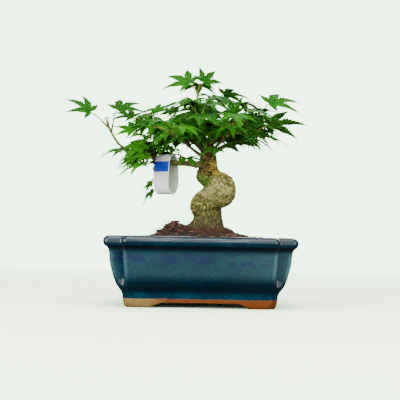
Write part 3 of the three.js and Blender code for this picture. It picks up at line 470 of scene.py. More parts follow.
def glaze_look():
    look = Look("glaze", Coat_Roughness=0.06, Specular_IOR_Level=0.22)
    height = look.axis("Z")
    rightward = look.axis("X")
    clouds = look.noise(17, 2, 0.5)
    mottles = look.noise(2.2, 4, 0.6, (1, 1, 0.8), 0.4)
    fine = look.noise(0.8, 3, 0.6)
    tone = look.total((clouds, 0.32), (mottles, 0.38), (fine, 0.3))
    glaze = look.ramp(
        tone, (0.37, (0, 20, 36)), (0.46, (0, 31, 47)), (0.54, (0, 41, 55)), (0.66, (12, 63, 73)))
    blots = look.total((look.noise(8, 2, 0.5, (0.6, 0.6, 1)), 0.75), (look.noise(1.8, 3, 0.6), 0.25))
    patches = look.times(look.band(height, (36, 40), (50.5, 48)), look.between(blots, 0.495, 0.54))
    glaze = look.tint(glaze, (0, 2, 52), patches, 0.95)
    # Darker bands: dark glaze pooled in the cove under the lip, with painted shade there; painted shade on
    # the shoulder under the rim; and painted shade with a painted dark reflection low on the belly, where it
    # turns down.
    cove_pool_and_shade = look.band(height, (49.5, 51.5), (56.4, 55))
    shoulder_painted_shade = look.times(look.between(height, 38, 48), 0.3)
    belly_foot_painted_shade = look.times(look.band(height, (32, 19), (12.8, 15.5)), 0.8)
    dark = look.math("MAXIMUM", cove_pool_and_shade, look.math("MAXIMUM", shoulder_painted_shade, belly_foot_painted_shade))
    glaze = look.tint(glaze, (0, 12, 24), dark, 0.88)
    glaze = look.tint(glaze, (8, 28, 38), look.between(height, 55.5, 57), 0.35)
    # Paler glaze where it runs thin over the corners, with a painted highlight on them that grows towards the
    # right, and a painted sheen over the right of the belly.
    to_right = look.between(rightward, 10, 80)
    corner = look.times(look.mark("corner"), look.blend(to_right, 0.36, 0.66))
    thin_glaze_and_highlight = look.math("MAXIMUM", corner, look.times(to_right, 0.18))
    glaze = look.tint(glaze, (92, 132, 130), thin_glaze_and_highlight, look.band(height, (22, 33), (53, 47)))
    glaze = look.tint(glaze, (90, 140, 150), look.between(look.cells(3.8), 0.075, 0.045), 0.4)
    bare_edge = look.times(look.between(height, 62.9, 63.5), look.between(look.noise(3, 3), 0.3, 0.5))
    glaze = look.tint(glaze, (56, 34, 18), bare_edge, 0.8)
    wavy = look.total((height, 1), (look.noise(7, 2), 1.8))
    clay = look.between(wavy, GLAZE_END + 1.4, GLAZE_END + 0.8)
    grain = look.noise(0.8, 4, 0.7)
    left_feet = look.ramp(grain, (0.3, (80, 58, 22)), (0.52, (122, 100, 52)), (0.75, (156, 138, 86)))
    right_feet = look.ramp(grain, (0.3, (68, 28, 2)), (0.52, (104, 50, 4)), (0.75, (134, 72, 12)))
    aside = look.between(rightward, -48, -26)
    dull = look.times(look.between(height, 60.8, 62.2), look.between(look.noise(16, 2), 0.56, 0.46))
    look.drive(Base_Color=look.mix(clay, glaze, look.mix(aside, left_feet, right_feet)),
               Roughness=look.blend(clay, 0.17, 0.85), Coat_Weight=look.blend(dull, 0.35, 0.03))
    look.relief((look.noise(9, 2, 0.5), 0.35), (look.times(grain, clay), 0.25))
    return look.material


def bark_look():
    look = Look("bark", Specular_IOR_Level=0.3)
    height = look.axis("Z")
    rightward = look.axis("X")
    hollow = look.mark("hollow")
    on_bulge = look.mark("bulge")
    damp = look.noise(3, 3)
    patches = look.noise(2.8, 4, 0.65, (1, 1, 1), 0.6)
    fine = look.noise(0.8, 4, 0.75)
    rings = look.noise(1.8, 3, 0.6, (0.2, 0.2, 1.3), 0.8)
    tone = look.total((patches, 0.5), (fine, 0.5))
    pale = look.ramp(
        tone, (0.42, (48, 46, 10)), (0.475, (100, 100, 42)), (0.525, (144, 140, 82)),
        (0.585, (192, 180, 130)))
    rough = look.ramp(
        tone, (0.43, (24, 18, 0)), (0.48, (58, 52, 4)), (0.525, (108, 102, 24)), (0.58, (192, 184, 96)))
    bark = look.mix(on_bulge, rough, pale)
    bark = look.tint(bark, (58, 74, 8), look.between(look.noise(6, 2), 0.46, 0.6), 0.5)
    neck = look.times(look.band(height, (119.5, 122.5), (137, 131)), look.math("SUBTRACT", 1.0, on_bulge))
    ochre = look.ramp(rings, (0.36, (52, 28, 0)), (0.44, (108, 88, 14)), (0.52, (172, 152, 48)))
    brown = look.ramp(rings, (0.36, (36, 20, 2)), (0.46, (70, 48, 12)), (0.56, (118, 90, 34)))
    to_right = look.between(rightward, 4, 10)
    bark = look.mix(neck, bark, look.mix(to_right, brown, ochre))
    upper = look.ramp(tone, (0.4, (40, 26, 4)), (0.5, (84, 66, 20)), (0.62, (132, 112, 50)))
    bark = look.mix(look.between(height, 130, 137), bark, upper)
    bark = look.tint(bark, (52, 100, 0), look.times(look.mark("algae"), look.between(damp, 0.28, 0.44)), 0.92)
    to_left = look.between(rightward, 1, -3)
    bark = look.tint(bark, (62, 92, 10), look.times(to_left, look.between(height, 124, 127)), 0.75)
    # Painted shade in the bark's hollows, and paler on the ridges that stand out.
    bark = look.tint(bark, (22, 15, 0), look.between(hollow, 0.1, 0.55), 0.75)
    bark = look.tint(bark, (190, 182, 112), look.between(hollow, -0.12, -0.5), 0.35)
    bark = look.tint(bark, (44, 40, 2), look.between(height, 98, 82), 0.72)
    wet_foot = look.times(look.between(height, 84, 72), look.between(damp, 0.36, 0.56))
    look.drive(Base_Color=look.tint(bark, (40, 26, 0), wet_foot, 0.75), Roughness=look.blend(tone, 0.6, 0.85))
    look.relief((fine, 0.45), (rings, 0.25))
    return look.material


def twig_look(name, dark, middle, light):
    look = Look(name, Roughness=0.6, Specular_IOR_Level=0.3)
    tone = look.noise(1.6, 3, 0.6)
    look.drive(Base_Color=look.ramp(tone, (0.36, dark), (0.5, middle), (0.64, light)))
    look.relief((tone, 0.2))
    return look.material


def stalk_look():
    look = Look("stalk", Roughness=0.5, Specular_IOR_Level=0.3)
    tone = look.total((look.noise(9, 2), 0.6), (look.mark("tone"), 0.4))
    look.drive(Base_Color=look.ramp(
        tone, (0.32, (56, 88, 12)), (0.5, (104, 112, 26)), (0.68, (124, 72, 30))))
    return look.material


def leaf_look():
    look = Look("leaf", Roughness=0.55, Specular_IOR_Level=0.05, Subsurface_Weight=0.5,
                Subsurface_Scale=0.001, Subsurface_Radius=(0.5, 1, 0.15))
    across = look.math("ABSOLUTE", look.mark("across"))
    along = look.mark("along")
    tone = look.total((look.mark("tone"), 0.66), (look.noise(5, 3), 0.34))
    blade = look.ramp(
        tone, (0.26, (10, 60, 0)), (0.42, (18, 74, 0)), (0.56, (28, 88, 4)), (0.76, (40, 104, 10)))
    slant = look.total((along, 26), (across, -4))
    wave = look.math("ABSOLUTE", look.math("SINE", slant))
    side_veins = look.times(look.between(wave, 0.2, 0.02), look.between(along, 0.1, 0.3))
    middle_vein = look.between(across, 0.16, 0.04)
    veins = look.math("MAXIMUM", look.times(side_veins, 0.4), look.times(middle_vein, 0.85))
    blade = look.tint(blade, (64, 122, 14), veins, 0.4)
    blade = look.tint(blade, (18, 34, 6), look.between(along, 0.82, 0.97), 0.55)
    # Paler undersides, as maple leaves have, lifted further by painted light where the lamps barely reach.
    look.drive(Base_Color=look.tint(blade, (70, 122, 34), look.mark("under"), 0.6))
    look.relief((look.math("SUBTRACT", 1.0, veins), 0.2), (look.noise(0.8, 2), 0.06))
    return look.material


def soil_look():
    look = Look("soil", Roughness=0.92)
    tone = look.noise(3.5, 4, 0.7)
    fine = look.noise(0.8, 3, 0.7)
    earth = look.ramp(tone, (0.3, (9, 4, 1)), (0.5, (28, 13, 5)), (0.66, (54, 27, 12)), (0.8, (84, 46, 22)))
    look.drive(Base_Color=look.tint(earth, (82, 52, 30), look.between(fine, 0.62, 0.75)))
    look.relief((fine, 0.6))
    return look.material


def plain_look(name, first, second, size=2.0, roughness=0.9, depth=0.2, metallic=0):
    """Two shades in patches of about that size."""
    look = Look(name, Roughness=roughness, Metallic=metallic)
    tone = look.noise(size, 3, 0.6)
    look.drive(Base_Color=look.ramp(tone, (0.35, first), (0.65, second)))
    look.relief((tone, depth))
    return look.material


def floor_look():
    """Pale where it is seen, dull where the glaze and the leaves mirror it."""
    material = bpy.data.materials.new("floor")
    material.use_nodes = True
    made = Nodes(material.node_tree)
    seen = made.seen()
    colour = made.mix(seen, FLOOR_MIRRORED, FLOOR_SEEN)
    diffuse = made.node("ShaderNodeBsdfDiffuse", {"Color": colour})
    away = made.node("ShaderNodeVectorMath", {0: made.place()}, operation="LENGTH").outputs["Value"]
    far = made.times(made.between(away, *FLOOR_FADE), seen)
    glow = made.node("ShaderNodeEmission", {"Color": BACKDROP})
    both = made.node("ShaderNodeMixShader", {0: far, 1: diffuse.outputs[0], 2: glow.outputs[0]})
    made.tree.links.new(both.outputs[0], made.tree.nodes["Material Output"].inputs["Surface"])
    return material


def make_world():
    """Bright where it is seen; elsewhere a soft sky that fades towards the ground."""
    world = bpy.data.worlds.new("studio")
    world.use_nodes = True
    made = Nodes(world.node_tree)
    towards = made.node("ShaderNodeTexCoord", {}).outputs["Generated"]
    rise = made.node("ShaderNodeSeparateXYZ", {0: towards}).outputs["Z"]
    sky = made.mix(made.between(rise, *SKY_RISE), SKY_LOW, SKY_HIGH)
    colour = made.mix(made.seen(), sky, BACKDROP)
    made.tree.links.new(colour, world.node_tree.nodes["Background"].inputs["Color"])
    bpy.context.scene.world = world


# Points and curves
def unit(vector):
    return vector / np.linalg.norm(vector)


def clamp(value, least=0, most=1):
    return max(least, min(most, value))


def bell(away, width):
    return math.exp(-(away / width) ** 2)


def cubic(p0, p1, p2, p3, t):
    """A point of a Bezier curve."""
    return p0 * (1 - t) ** 3 + 3 * p1 * t * (1 - t) ** 2 + 3 * p2 * t * t * (1 - t) + p3 * t ** 3


def curve_points(route, places):
    """Points of the smooth centripetal curve through a route, at places from 0 to 1."""
    route = [np.array(p, float) for p in route]
    last = len(route) - 1
    ends = [2 * route[0] - route[1], *route, 2 * route[-1] - route[-2]]
    found = []
    for place in places:
        stretch = min(int(place * last), last - 1)
        t = place * last - stretch
        p0, p1, p2, p3 = ends[stretch:stretch + 4]
        gaps = [np.sum((b - a) ** 2) ** 0.25 for a, b in ((p0, p1), (p1, p2), (p2, p3))]
        g0, g1, g2 = gaps
        start = ((p1 - p0) / g0 - (p2 - p0) / (g0 + g1) + (p2 - p1) / g1) * g1
        stop = ((p2 - p1) / g1 - (p3 - p1) / (g1 + g2) + (p3 - p2) / g2) * g1
        square = -3 * p1 + 3 * p2 - 2 * start - stop
        cube = 2 * p1 - 2 * p2 + start + stop
        found.append(p1 + start * t + square * t * t + cube * t ** 3)
    return np.array(found)


def tube(route, radii, sides, steps, blunt=True):
    """Points and faces of a round tube along a smooth curve, closed at both ends."""
    places = np.linspace(0, 1, steps + 1)
    centres = curve_points(route, places)
    reach = np.interp(places, np.linspace(0, 1, len(radii)), radii)
    tangents = np.gradient(centres, axis=0)
    across = None
    points = []
    for centre, tangent, radius in zip(centres, tangents, reach):
        tangent = unit(tangent)
        if across is None:
            across = np.cross(tangent, (0.3, 0.9, 0.2))
        across = unit(across - tangent * across.dot(tangent))
        other = np.cross(tangent, across)
        for side in range(sides):
            turn = 2 * math.pi * side / sides
            points.append(centre + radius * (math.cos(turn) * across + math.sin(turn) * other))
    faces = ring_faces(steps + 1, sides)
    round_off = 0 if blunt else 0.7
    tips = [centres[0] - unit(tangents[0]) * reach[0] * round_off,
            centres[-1] + unit(tangents[-1]) * reach[-1] * round_off]
    first, last = len(points), len(points) + 1
    top = steps * sides
    for side in range(sides):
        after = (side + 1) % sides
        faces.append((after, side, first))
        faces.append((top + side, top + after, last))
    return points + tips, faces


def wood(route, sides, steps):
    """A tube with round ends along points that each have a radius."""
    return tube([p[:3] for p in route], [p[3] for p in route], sides, steps, False)


def ring_faces(rings, count):
    """Four-sided faces between rings of points that follow each other."""
    faces = []
    for ring in range(rings - 1):
        low = ring * count
        for i in range(count):
            j = (i + 1) % count
            faces.append((low + i, low + j, low + count + j, low + count + i))
    return faces


def tapered(radii, count):
    thick, thin = radii
    return [thin + (thick - thin) * (1 - i / (count - 1)) ** BRANCH_TAPER for i in range(count)]


class Skin:
    """Gathers the points and faces of one piece, with numbers marked on its points."""

    def __init__(self, marks=()):
        self.points = []
        self.faces = []
        self.looks = []
        self.marks = {name: [] for name in marks}

    def add(self, points, faces, look=0, **marks):
        first = len(self.points)
        self.points.extend(points)
        self.faces.extend(tuple(first + i for i in face) for face in faces)
        self.looks.extend([look] * len(faces))
        for name, values in self.marks.items():
            given = marks.get(name, 0.0)
            values.extend([given] * len(points) if isinstance(given, (int, float)) else given)

    def mesh(self, name):
        mesh = bpy.data.meshes.new(name)
        points = (np.array(self.points) + POT_MIDDLE) / 1000
        mesh.from_pydata(points.tolist(), [], self.faces)
        mesh.polygons.foreach_set("material_index", self.looks)
        for mark, values in self.marks.items():
            set_mark(mesh, mark, values)
        mesh.update()
        return mesh


def set_mark(mesh, name, values):
    """A number for each point of a mesh, which its material reads by name."""
    mesh.attributes.new(name, "FLOAT", "POINT").data.foreach_set("value", values)


def new_object(name, data):
    made = bpy.data.objects.new(name, data)
    bpy.context.scene.collection.objects.link(made)
    return made


def add_piece(mesh, materials, nodes=(), crease=40):
    """A shown object that rides on the plant and stands for the named CAD nodes."""
    piece = new_object(mesh.name, mesh)
    for one in materials:
        mesh.materials.append(one)
    mesh.polygons.foreach_set("use_smooth", [True] * len(mesh.polygons))
    mesh.set_sharp_from_angle(angle=math.radians(crease))
    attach(piece, "root")
    if nodes:
        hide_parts(*nodes)


def with_modifiers(mesh, *modifiers):
    """A new mesh in place of the given one, with modifiers applied, each a type and its settings."""
    holder = new_object(mesh.name, mesh)
    for kind, settings in modifiers:
        modifier = holder.modifiers.new(kind.lower(), kind)
        for key, value in settings.items():
            setattr(modifier, key, value)
    made = bpy.data.meshes.new_from_object(holder.evaluated_get(bpy.context.evaluated_depsgraph_get()))
    name = mesh.name
    bpy.data.objects.remove(holder)
    bpy.data.meshes.remove(mesh)
    made.name = name
    return made


def vectors(source, field):
    """Rows of x, y and z from a mesh's points or normals."""
    values = np.empty(len(source) * 3)
    source.foreach_get(field, values)
    return values.reshape(-1, 3)


def swirl(point, size, seed=0.0):
    """Smooth noise from -1 to 1 with waves of about that size."""
    return noise.noise(Vector(point) / size + Vector((seed, seed * 1.7, seed * 0.3)))


# Pot
def arc(centre_x, centre_y, radius, start, stop, steps):
    turns = np.radians(np.linspace(start, stop, steps + 1))
    return [(centre_x + radius * math.cos(t), centre_y + radius * math.sin(t)) for t in turns]


def notched(half_width, notch, z, inset=0.0):
    """Plan outline of the pot: a rectangle with stepped-in corners, rounded outside and in."""
    x = half_width - inset
    y = half_width - POT_DEPTH_LESS - inset
    corner = CORNER_ROUND + CORNER_GROWTH * (notch - FOOT_NOTCH)
    fillet = min(INNER_ROUND, notch - corner - 0.02)
    quarter = arc(x - corner, y - notch - corner, corner, 0, 90, 8)
    quarter += arc(x - notch + fillet, y - notch + fillet, fillet, 270, 180, 4)
    quarter += arc(x - notch - corner, y - corner, corner, 0, 90, 8)
    ring = []
    for sign_x, sign_y in ((1, 1), (-1, 1), (-1, -1), (1, -1)):
        run = quarter if sign_x * sign_y > 0 else quarter[::-1]
        ring += [(px * sign_x, py * sign_y, z) for px, py in run]
    return ring


def smooth_profile(profile, parts):
    """More rings between a profile's own, on a smooth curve."""
    places = np.linspace(0, 1, (len(profile) - 1) * parts + 1)
    return curve_points(profile, places)


def loft_mesh(name, rings):
    count = len(rings[0])
    faces = ring_faces(len(rings), count)
    faces.append(tuple(range(count))[::-1])
    faces.append(tuple(range((len(rings) - 1) * count, len(rings) * count)))
    skin = Skin()
    skin.add([p for ring in rings for p in ring], faces)
    return skin.mesh(name)


def arch_mesh(name, halves, along_x):
    """The solid that is cut away between two feet."""
    floor_half, top_half = halves
    reach = 120
    sill = [(floor_half, -1), (floor_half, 0.6)]
    curve = np.array([(floor_half, 0.8), (floor_half - 2, 3.4), (top_half + 4, 2.4), (top_half, FLOOR_UNDER)])
    sill += [tuple(cubic(*curve, t)) for t in np.linspace(0, 1, 9)]
    outline = sill + [(-a, z) for a, z in reversed(sill)]
    rings = []
    for y in (reach, -reach):
        rings.append([(a, y, z) if not along_x else (-y, a, z) for a, z in outline])
    return loft_mesh(name, rings)


def drain_mesh(name, x):
    circle = arc(x, 0, DRAIN_RADIUS, 0, 360, DRAIN_SIDES)[:-1]
    return loft_mesh(name, [[(*p, z) for p in circle] for z in (FLOOR_UNDER - 3, FLOOR_TOP + 3)])


def corner_marks(mesh):
    """1 on the pot's upright outer corners, falling to 0 beside them, where the glaze runs thin and a
    highlight is painted.
    """
    x, y, z = np.abs(vectors(mesh.vertices, "co") * 1000 - POT_MIDDLE).T
    heights, halves, notches = zip(*POT_PROFILE)
    half = np.interp(z, heights, halves)
    notch = np.interp(z, heights, notches)
    depth = half - POT_DEPTH_LESS
    side = np.hypot(x - half, y - depth + notch)
    front = np.hypot(x - half + notch, y - depth)
    return np.clip(1.25 - np.minimum(side, front) / CORNER_PALE, 0, 1)


def make_pot(look):
    outer = [notched(half, notch, z) for z, half, notch in smooth_profile(POT_PROFILE, PROFILE_PARTS[0])]
    cavity = list(smooth_profile(CAVITY_PROFILE, PROFILE_PARTS[1]))
    cavity.append((cavity[-1][0] + 1, cavity[-1][1] + 0.8, cavity[-1][2]))
    hollow = [notched(half, notch, z) for z, half, notch in cavity]
    _, foot_half, foot_notch = POT_PROFILE[0]
    under = [notched(foot_half, foot_notch, z, FOOT_WALL) for z in (-1, FLOOR_UNDER)]
    cutters = [
        loft_mesh("cut_hollow", hollow), loft_mesh("cut_under", under),
        arch_mesh("cut_front", ARCH_FRONT, False), arch_mesh("cut_side", ARCH_SIDE, True),
        drain_mesh("cut_drain_left", -DRAIN_X), drain_mesh("cut_drain_right", DRAIN_X),
    ]
    holders = [new_object(cutter.name, cutter) for cutter in cutters]
    cuts = [("BOOLEAN", {"operation": "DIFFERENCE", "object": h, "solver": "EXACT"}) for h in holders]
    mesh = with_modifiers(loft_mesh("glazed_pot", outer), *cuts)
    for cutter in cutters:
        bpy.data.meshes.remove(cutter)
    set_mark(mesh, "corner", corner_marks(mesh))
    add_piece(mesh, [look], ["pot"], 32)


# Soil and what lies on it
def soil_height(x, y):
    mound = SOIL_RISE * bell(math.hypot(x / SOIL_SPREAD[0], y / SOIL_SPREAD[1]), 1)
    heap = HEAP["rise"] * bell(math.hypot(x - HEAP["x"], y - HEAP["y"]), HEAP["radius"])
    lumps = 0.5 * math.sin(x * 0.42 + 1) * math.cos(y * 0.37) + 0.35 * math.sin(x * 0.9 - y * 0.8)
    return SOIL_EDGE + mound + heap + lumps


def spaced(ring, count):
    """The closed outline with its points evenly spaced."""
    points = np.array(ring + ring[:1])
    lengths = np.concatenate([[0], np.cumsum(np.linalg.norm(np.diff(points, axis=0), axis=1))])
    places = np.linspace(0, lengths[-1], count, endpoint=False)
    return [tuple(np.interp(s, lengths, points[:, k]) for k in range(3)) for s in places]


def make_soil(look):
    rings = []
    for z, half, notch in CAVITY_PROFILE[:4]:
        outline = notched(half, notch, max(z, FLOOR_TOP + SOIL_GAP), SOIL_GAP)
        rings.append(spaced(outline, SOIL_SIDES))
    edge = rings.pop()
    for shrink in np.linspace(1, 0.02, SOIL_RINGS):
        ring = []
        for x, y, _ in edge:
            x, y = x * shrink, y * shrink
            rough = 0.9 * swirl((x, y, 0), 3.1) + 0.6 * swirl((x, y, 0), 1.5, 4)
            ring.append((x, y, soil_height(x, y) + rough * min(1, (1.02 - shrink) * 8)))
        rings.append(ring)
    add_piece(loft_mesh("soil_bed", rings), [look], ["soil"], 60)


def grain_shape(draw, size):
    """A crumb: a rough eight-cornered lump with its faces."""
    corners = []
    for signs in product((-1, 1), repeat=3):
        corners.append([sign * size * draw.uniform(0.35, 0.72) for sign in signs])
    for axis in range(3):
        for sign in (-1, 1):
            corner = [draw.uniform(-0.1, 0.1) * size for _ in range(3)]
            corner[axis] = sign * size * draw.uniform(0.6, 0.95)
            corners.append(corner)
    quads = [(0, 1, 3, 2), (4, 6, 7, 5), (0, 4, 5, 1), (2, 3, 7, 6), (0, 2, 6, 4), (1, 5, 7, 3)]
    faces = [(a, b, 8 + k) for k, quad in enumerate(quads) for a, b in zip(quad, quad[1:] + quad[:1])]
    return corners, faces


def turned(points, spin):
    return [np.array(spin @ Vector(p)) for p in points]


def on_soil(draw):
    """A place on the soil inside the pot's wall."""
    while True:
        x, y = [draw.uniform(-half, half) for half in SOIL_HALVES]
        if abs(x) <= SOIL_CORNER[0] or abs(y) <= SOIL_CORNER[1]:
            return x, y, soil_height(x, y)


def beside_heap(draw, spread_x, spread_y, aside=0):
    return HEAP["x"] - aside + draw.gauss(0, spread_x), HEAP["y"] + draw.gauss(0, spread_y)


def make_grains(looks):
    draw = random.Random(SEEDS["grains"])
    skin = Skin()
    for _ in range(GRAINS):
        x, y, z = on_soil(draw)
        size = draw.uniform(*GRAIN_SIZE) * draw.choice((0.6, 0.8, 1))
        points, faces = grain_shape(draw, size)
        turn = draw.uniform(0, WHOLE_TURN)
        axis = Vector([draw.uniform(-1, 1) for _ in range(3)]).normalized()
        at = np.array((x, y, z + size * 0.25))
        points = [p + at for p in turned(points, Matrix.Rotation(turn, 3, axis))]
        skin.add(points, faces, draw.choice((0, 0, 0, 1, 2)))
    add_piece(skin.mesh("soil_grains"), looks, (), 50)


def beside(x, y, turn, away):
    """The place at a distance from another, in a direction given in radians."""
    return x + away * math.cos(turn), y + away * math.sin(turn)


def near_trunk(draw, least, most, sector=(0, 360)):
    """A place on the soil at a distance from the trunk's middle, in a sector given in degrees."""
    turn = math.radians(draw.uniform(*sector))
    x, y = beside(*TRUNK_FOOT[1][:2], turn, draw.uniform(least, most))
    return x, y, soil_height(x, y)


def make_moss(looks):
    """Cushions of fine upright leaflets round the trunk and on the heap."""
    draw = random.Random(SEEDS["moss"])
    skin = Skin()
    cushions = []
    for count, distances, sector, heights in MOSS_RINGS:
        for _ in range(count):
            cushions.append((*near_trunk(draw, *distances, sector)[:2], draw.uniform(*heights)))
    cushions += [(*beside_heap(draw, 5, 5), 1.4) for _ in range(MOSS_ON_HEAP)]
    for x, y, lump in cushions:
        look = draw.choice((0, 1, 1, 1, 2))
        radius = draw.uniform(*MOSS_RADIUS)
        for _ in range(int(radius * radius * MOSS_DENSITY)):
            turn = draw.uniform(0, 2 * math.pi)
            away = radius * math.sqrt(draw.random())
            px, py = beside(x, y, turn, away)
            dome = lump * (1 - (away / radius) ** 2)
            foot = np.array((px, py, soil_height(px, py) + dome - 0.8))
            tip = foot + np.array((draw.gauss(0, 0.5), draw.gauss(0, 0.5), draw.uniform(*MOSS_LEAF[1])))
            width = draw.uniform(*MOSS_LEAF[0])
            corners = [(*beside(*foot[:2], turn + k, width), foot[2]) for k in (0, 2.1, 4.2)]
            skin.add([*corners, tip], [(0, 1, 3), (1, 2, 3), (2, 0, 3), (2, 1, 0)], look)
    add_piece(skin.mesh("moss"), looks, (), 30)


def bent_route(draw, start, turn, lengths, rises, bends):
    """Three points of a stalk that starts at a place and heads one way."""
    length = draw.uniform(*lengths)
    ahead = np.array((math.cos(turn), math.sin(turn), draw.uniform(*rises)))
    bend = np.array((draw.gauss(0, 1), draw.gauss(0, 1), draw.uniform(*bends)))
    return [np.array(start), start + ahead * length / 2 + bend, start + ahead * length]


def make_litter(looks):
    """Dead leaf scraps, twig ends and dry stalks on the soil."""
    draw = random.Random(SEEDS["litter"])
    skin = Skin()
    for k in range(DEAD_LEAVES):
        x, y = near_trunk(draw, 20, 46)[:2] if k % 2 else beside_heap(draw, 7, 6)
        z = soil_height(x, y) + draw.uniform(*DEAD_LEAF_LIFT)
        length, width = [draw.uniform(*sizes) for sizes in DEAD_LEAF]
        curl = draw.uniform(*DEAD_LEAF_CURL)
        flat = []
        for along in np.linspace(0, 1, DEAD_LEAF_PARTS + 1):
            half = width * math.sin(math.pi * (0.12 + 0.8 * along))
            lift = curl * (along - 0.5) ** 2 * 4
            flat += [(length * (along - 0.5), -half, lift), (length * (along - 0.5), half, lift + 0.3 * curl)]
        heading = Matrix.Rotation(draw.uniform(0, WHOLE_TURN), 3, "Z")
        spin = heading @ Matrix.Rotation(draw.uniform(-1.2, 1.2), 3, "X")
        sheet = [p + np.array((x, y, z)) for p in turned(flat, spin)]
        quads = [(2 * i, 2 * i + 2, 2 * i + 3, 2 * i + 1) for i in range(DEAD_LEAF_PARTS)]
        points, faces = thickened(sheet, quads, np.array((0, 0, -0.25)))
        skin.add(points, faces, draw.choice((0, 0, 1)))
    for _ in range(TWIG_ENDS):
        x, y, z = near_trunk(draw, 22, 50)
        turn = draw.uniform(0, 2 * math.pi)
        route = bent_route(draw, (x, y, z + 0.3), turn, TWIG_LENGTH, (-0.1, 0.35), (0, 1))
        skin.add(*tube(route, (0.5, 0.4, 0.25), 6, 6), 2)
    for _ in range(DRY_STALKS):
        x, y = beside_heap(draw, 9, 7, 4)
        turn = draw.choice((draw.gauss(3.3, 0.7), draw.uniform(0, WHOLE_TURN)))
        start = (x, y, soil_height(x, y) - 0.5)
        route = bent_route(draw, start, turn, DRY_STALK_LENGTH, (0.15, 1.1), (0.3, 1.8))
        skin.add(*tube(route, (0.32, 0.26, 0.14), 5, 7), draw.choice((1, 2)))
    add_piece(skin.mesh("leaf_litter"), looks, (), 40)


# Places of the leaves: those of the shoots follow the same rule as the model's source
class Drawer:
    """Numbers between two limits, the same for a seed on any machine."""

    def __init__(self, seed):
        self.state = seed

    def __call__(self, least, most):
        self.state = (self.state * 1664525 + 1013904223) % 4294967296
        return least + (most - least) * self.state / 4294967296


def headed(heading, rise):
    """The direction with this heading and rise, both in degrees."""
    level = math.cos(math.radians(rise))
    turn = math.radians(heading)
    return np.array((math.cos(turn) * level, math.sin(turn) * level, math.sin(math.radians(rise))))


def leaf_axes(leaf):
    """The leaf's middle lobe, its left side and its upper face."""
    up = unit(np.array((*leaf["lean"], 1.0)))
    out = headed(leaf["heading"], 0)
    out = unit(out - up * out.dot(up))
    return out, np.cross(up, out), up


def swung(degrees, along, across):
    """Place in the leaf's plane of a point given along and across a lobe."""
    angle = math.radians(degrees)
    x = math.cos(angle) * along - math.sin(angle) * across
    y = math.sin(angle) * along + math.cos(angle) * across
    return x, y


def blade_points(leaf, degrees, lobe_length, along, across):
    out, side, up = leaf_axes(leaf)
    reach = along * lobe_length
    x, y = swung(degrees, reach, across)
    height = LEAF_RISE * reach - LEAF_DROOP * reach ** 2 / leaf["length"] + LEAF_FOLD * np.abs(across)
    return leaf["hub"] + np.outer(x, out) + np.outer(y, side) + np.outer(height, up)


def stalk_route(stem_end, leaf):
    out, _, up = leaf_axes(leaf)
    behind = leaf["hub"] - 2.5 * out - 0.9 * up
    middle = (stem_end + behind) / 2
    middle[2] += np.linalg.norm(stem_end - behind) * STALK_ARCH
    return [leaf["hub"], behind, middle, stem_end]


def route_spots(route, radius, start=0.0, stop=1.0):
    """Balls along a route, as rows of x, y, z and radius, which leaves keep clear of."""
    reach = sum(np.linalg.norm(np.subtract(b, a)) for a, b in zip(route, route[1:]))
    steps = math.ceil(reach / SPOT_STEP) + 1
    places = [i / steps for i in range(steps + 1) if start <= i / steps <= stop]
    points = curve_points(route, places)
    return np.column_stack([points, np.full(len(points), radius)])


def blade_spots(leaf):
    found = []
    for degrees, share in zip(*LOBES[leaf["lobes"]]):
        length = share * leaf["length"]
        steps = math.ceil(length / SPOT_STEP)
        along, across = [], []
        for i in range(1, steps + 1):
            half = LOBE_ROOM * length * min(1, (1 - i / steps) / 0.44)
            for aside in ((-half * 0.7, 0, half * 0.7) if half > 1.6 else (0,)):
                along.append(i / steps)
                across.append(aside)
        found.append(blade_points(leaf, degrees, length, np.array(along), np.array(across)))
    points = np.concatenate(found)
    return np.column_stack([points, np.full(len(points), SPOT_RADIUS)])


def is_clear(mine, others, margin=SPOT_MARGIN):
    if not len(others):
        return True
    gaps = np.linalg.norm(mine[:, None, :3] - others[None, :, :3], axis=2)
    return not (gaps < mine[:, None, 3] + others[None, :, 3] + margin).any()


def all_tries():
    tries = [(twist, lift) for twist in TRY_TWISTS for lift in TRY_LIFTS]
    return sorted(tries, key=lambda one: abs(one[1]) + abs(one[0]) * TWIST_EFFORT)


def place_leaf(leaf, shoot, taken, owners):
    """The leaf, turned and lifted as little as makes it clear of the rest, or None."""
    spots = np.concatenate(taken)
    owner = np.repeat(owners, [len(group) for group in taken])
    near = np.linalg.norm(spots[:, :3] - leaf["hub"], axis=1) < NEAR_ENOUGH
    spots, owner = spots[near], owner[near]
    others = spots[owner != shoot["number"]]
    for twist, lift in all_tries():
        tried = {**leaf, "hub": leaf["hub"] + (0, 0, lift), "heading": leaf["heading"] + twist}
        blade = blade_spots(tried)
        stalk = route_spots(stalk_route(shoot["to"], tried), PETIOLE_RADIUS, *STALK_STRETCH)
        if is_clear(blade, spots) and is_clear(stalk, others):
            taken.append(np.concatenate([blade, stalk]))
            owners.append(shoot["number"])
            return tried
    return None


def fill_shoot(start, heading, rise, count, draw):
    start = np.array(start, float)
    away = heading + draw(-FILL_SWING, FILL_SWING)
    stop = start + headed(away, rise) * draw(*FILL_STEM)
    leaves = []
    for i in range(count):
        turn = heading + (i - (count - 1) / 2) * FILL_SPREAD + draw(-FILL_SWING, FILL_SWING)
        stalk = draw(*FILL_PETIOLE)
        hub = stop + headed(turn, draw(*FILL_RISE)) * stalk
        lean = headed(turn, 0) * draw(0, FILL_LEAN)
        length = draw(*FILL_LENGTH)
        lobes = 7 if draw(0, 1) < 0.35 else 5
        lean = (lean[0], lean[1] - 0.1)
        leaves.append({"hub": hub, "heading": turn, "lean": lean, "length": length, "lobes": lobes})
    return {"from": start, "to": stop, "leaves": leaves}


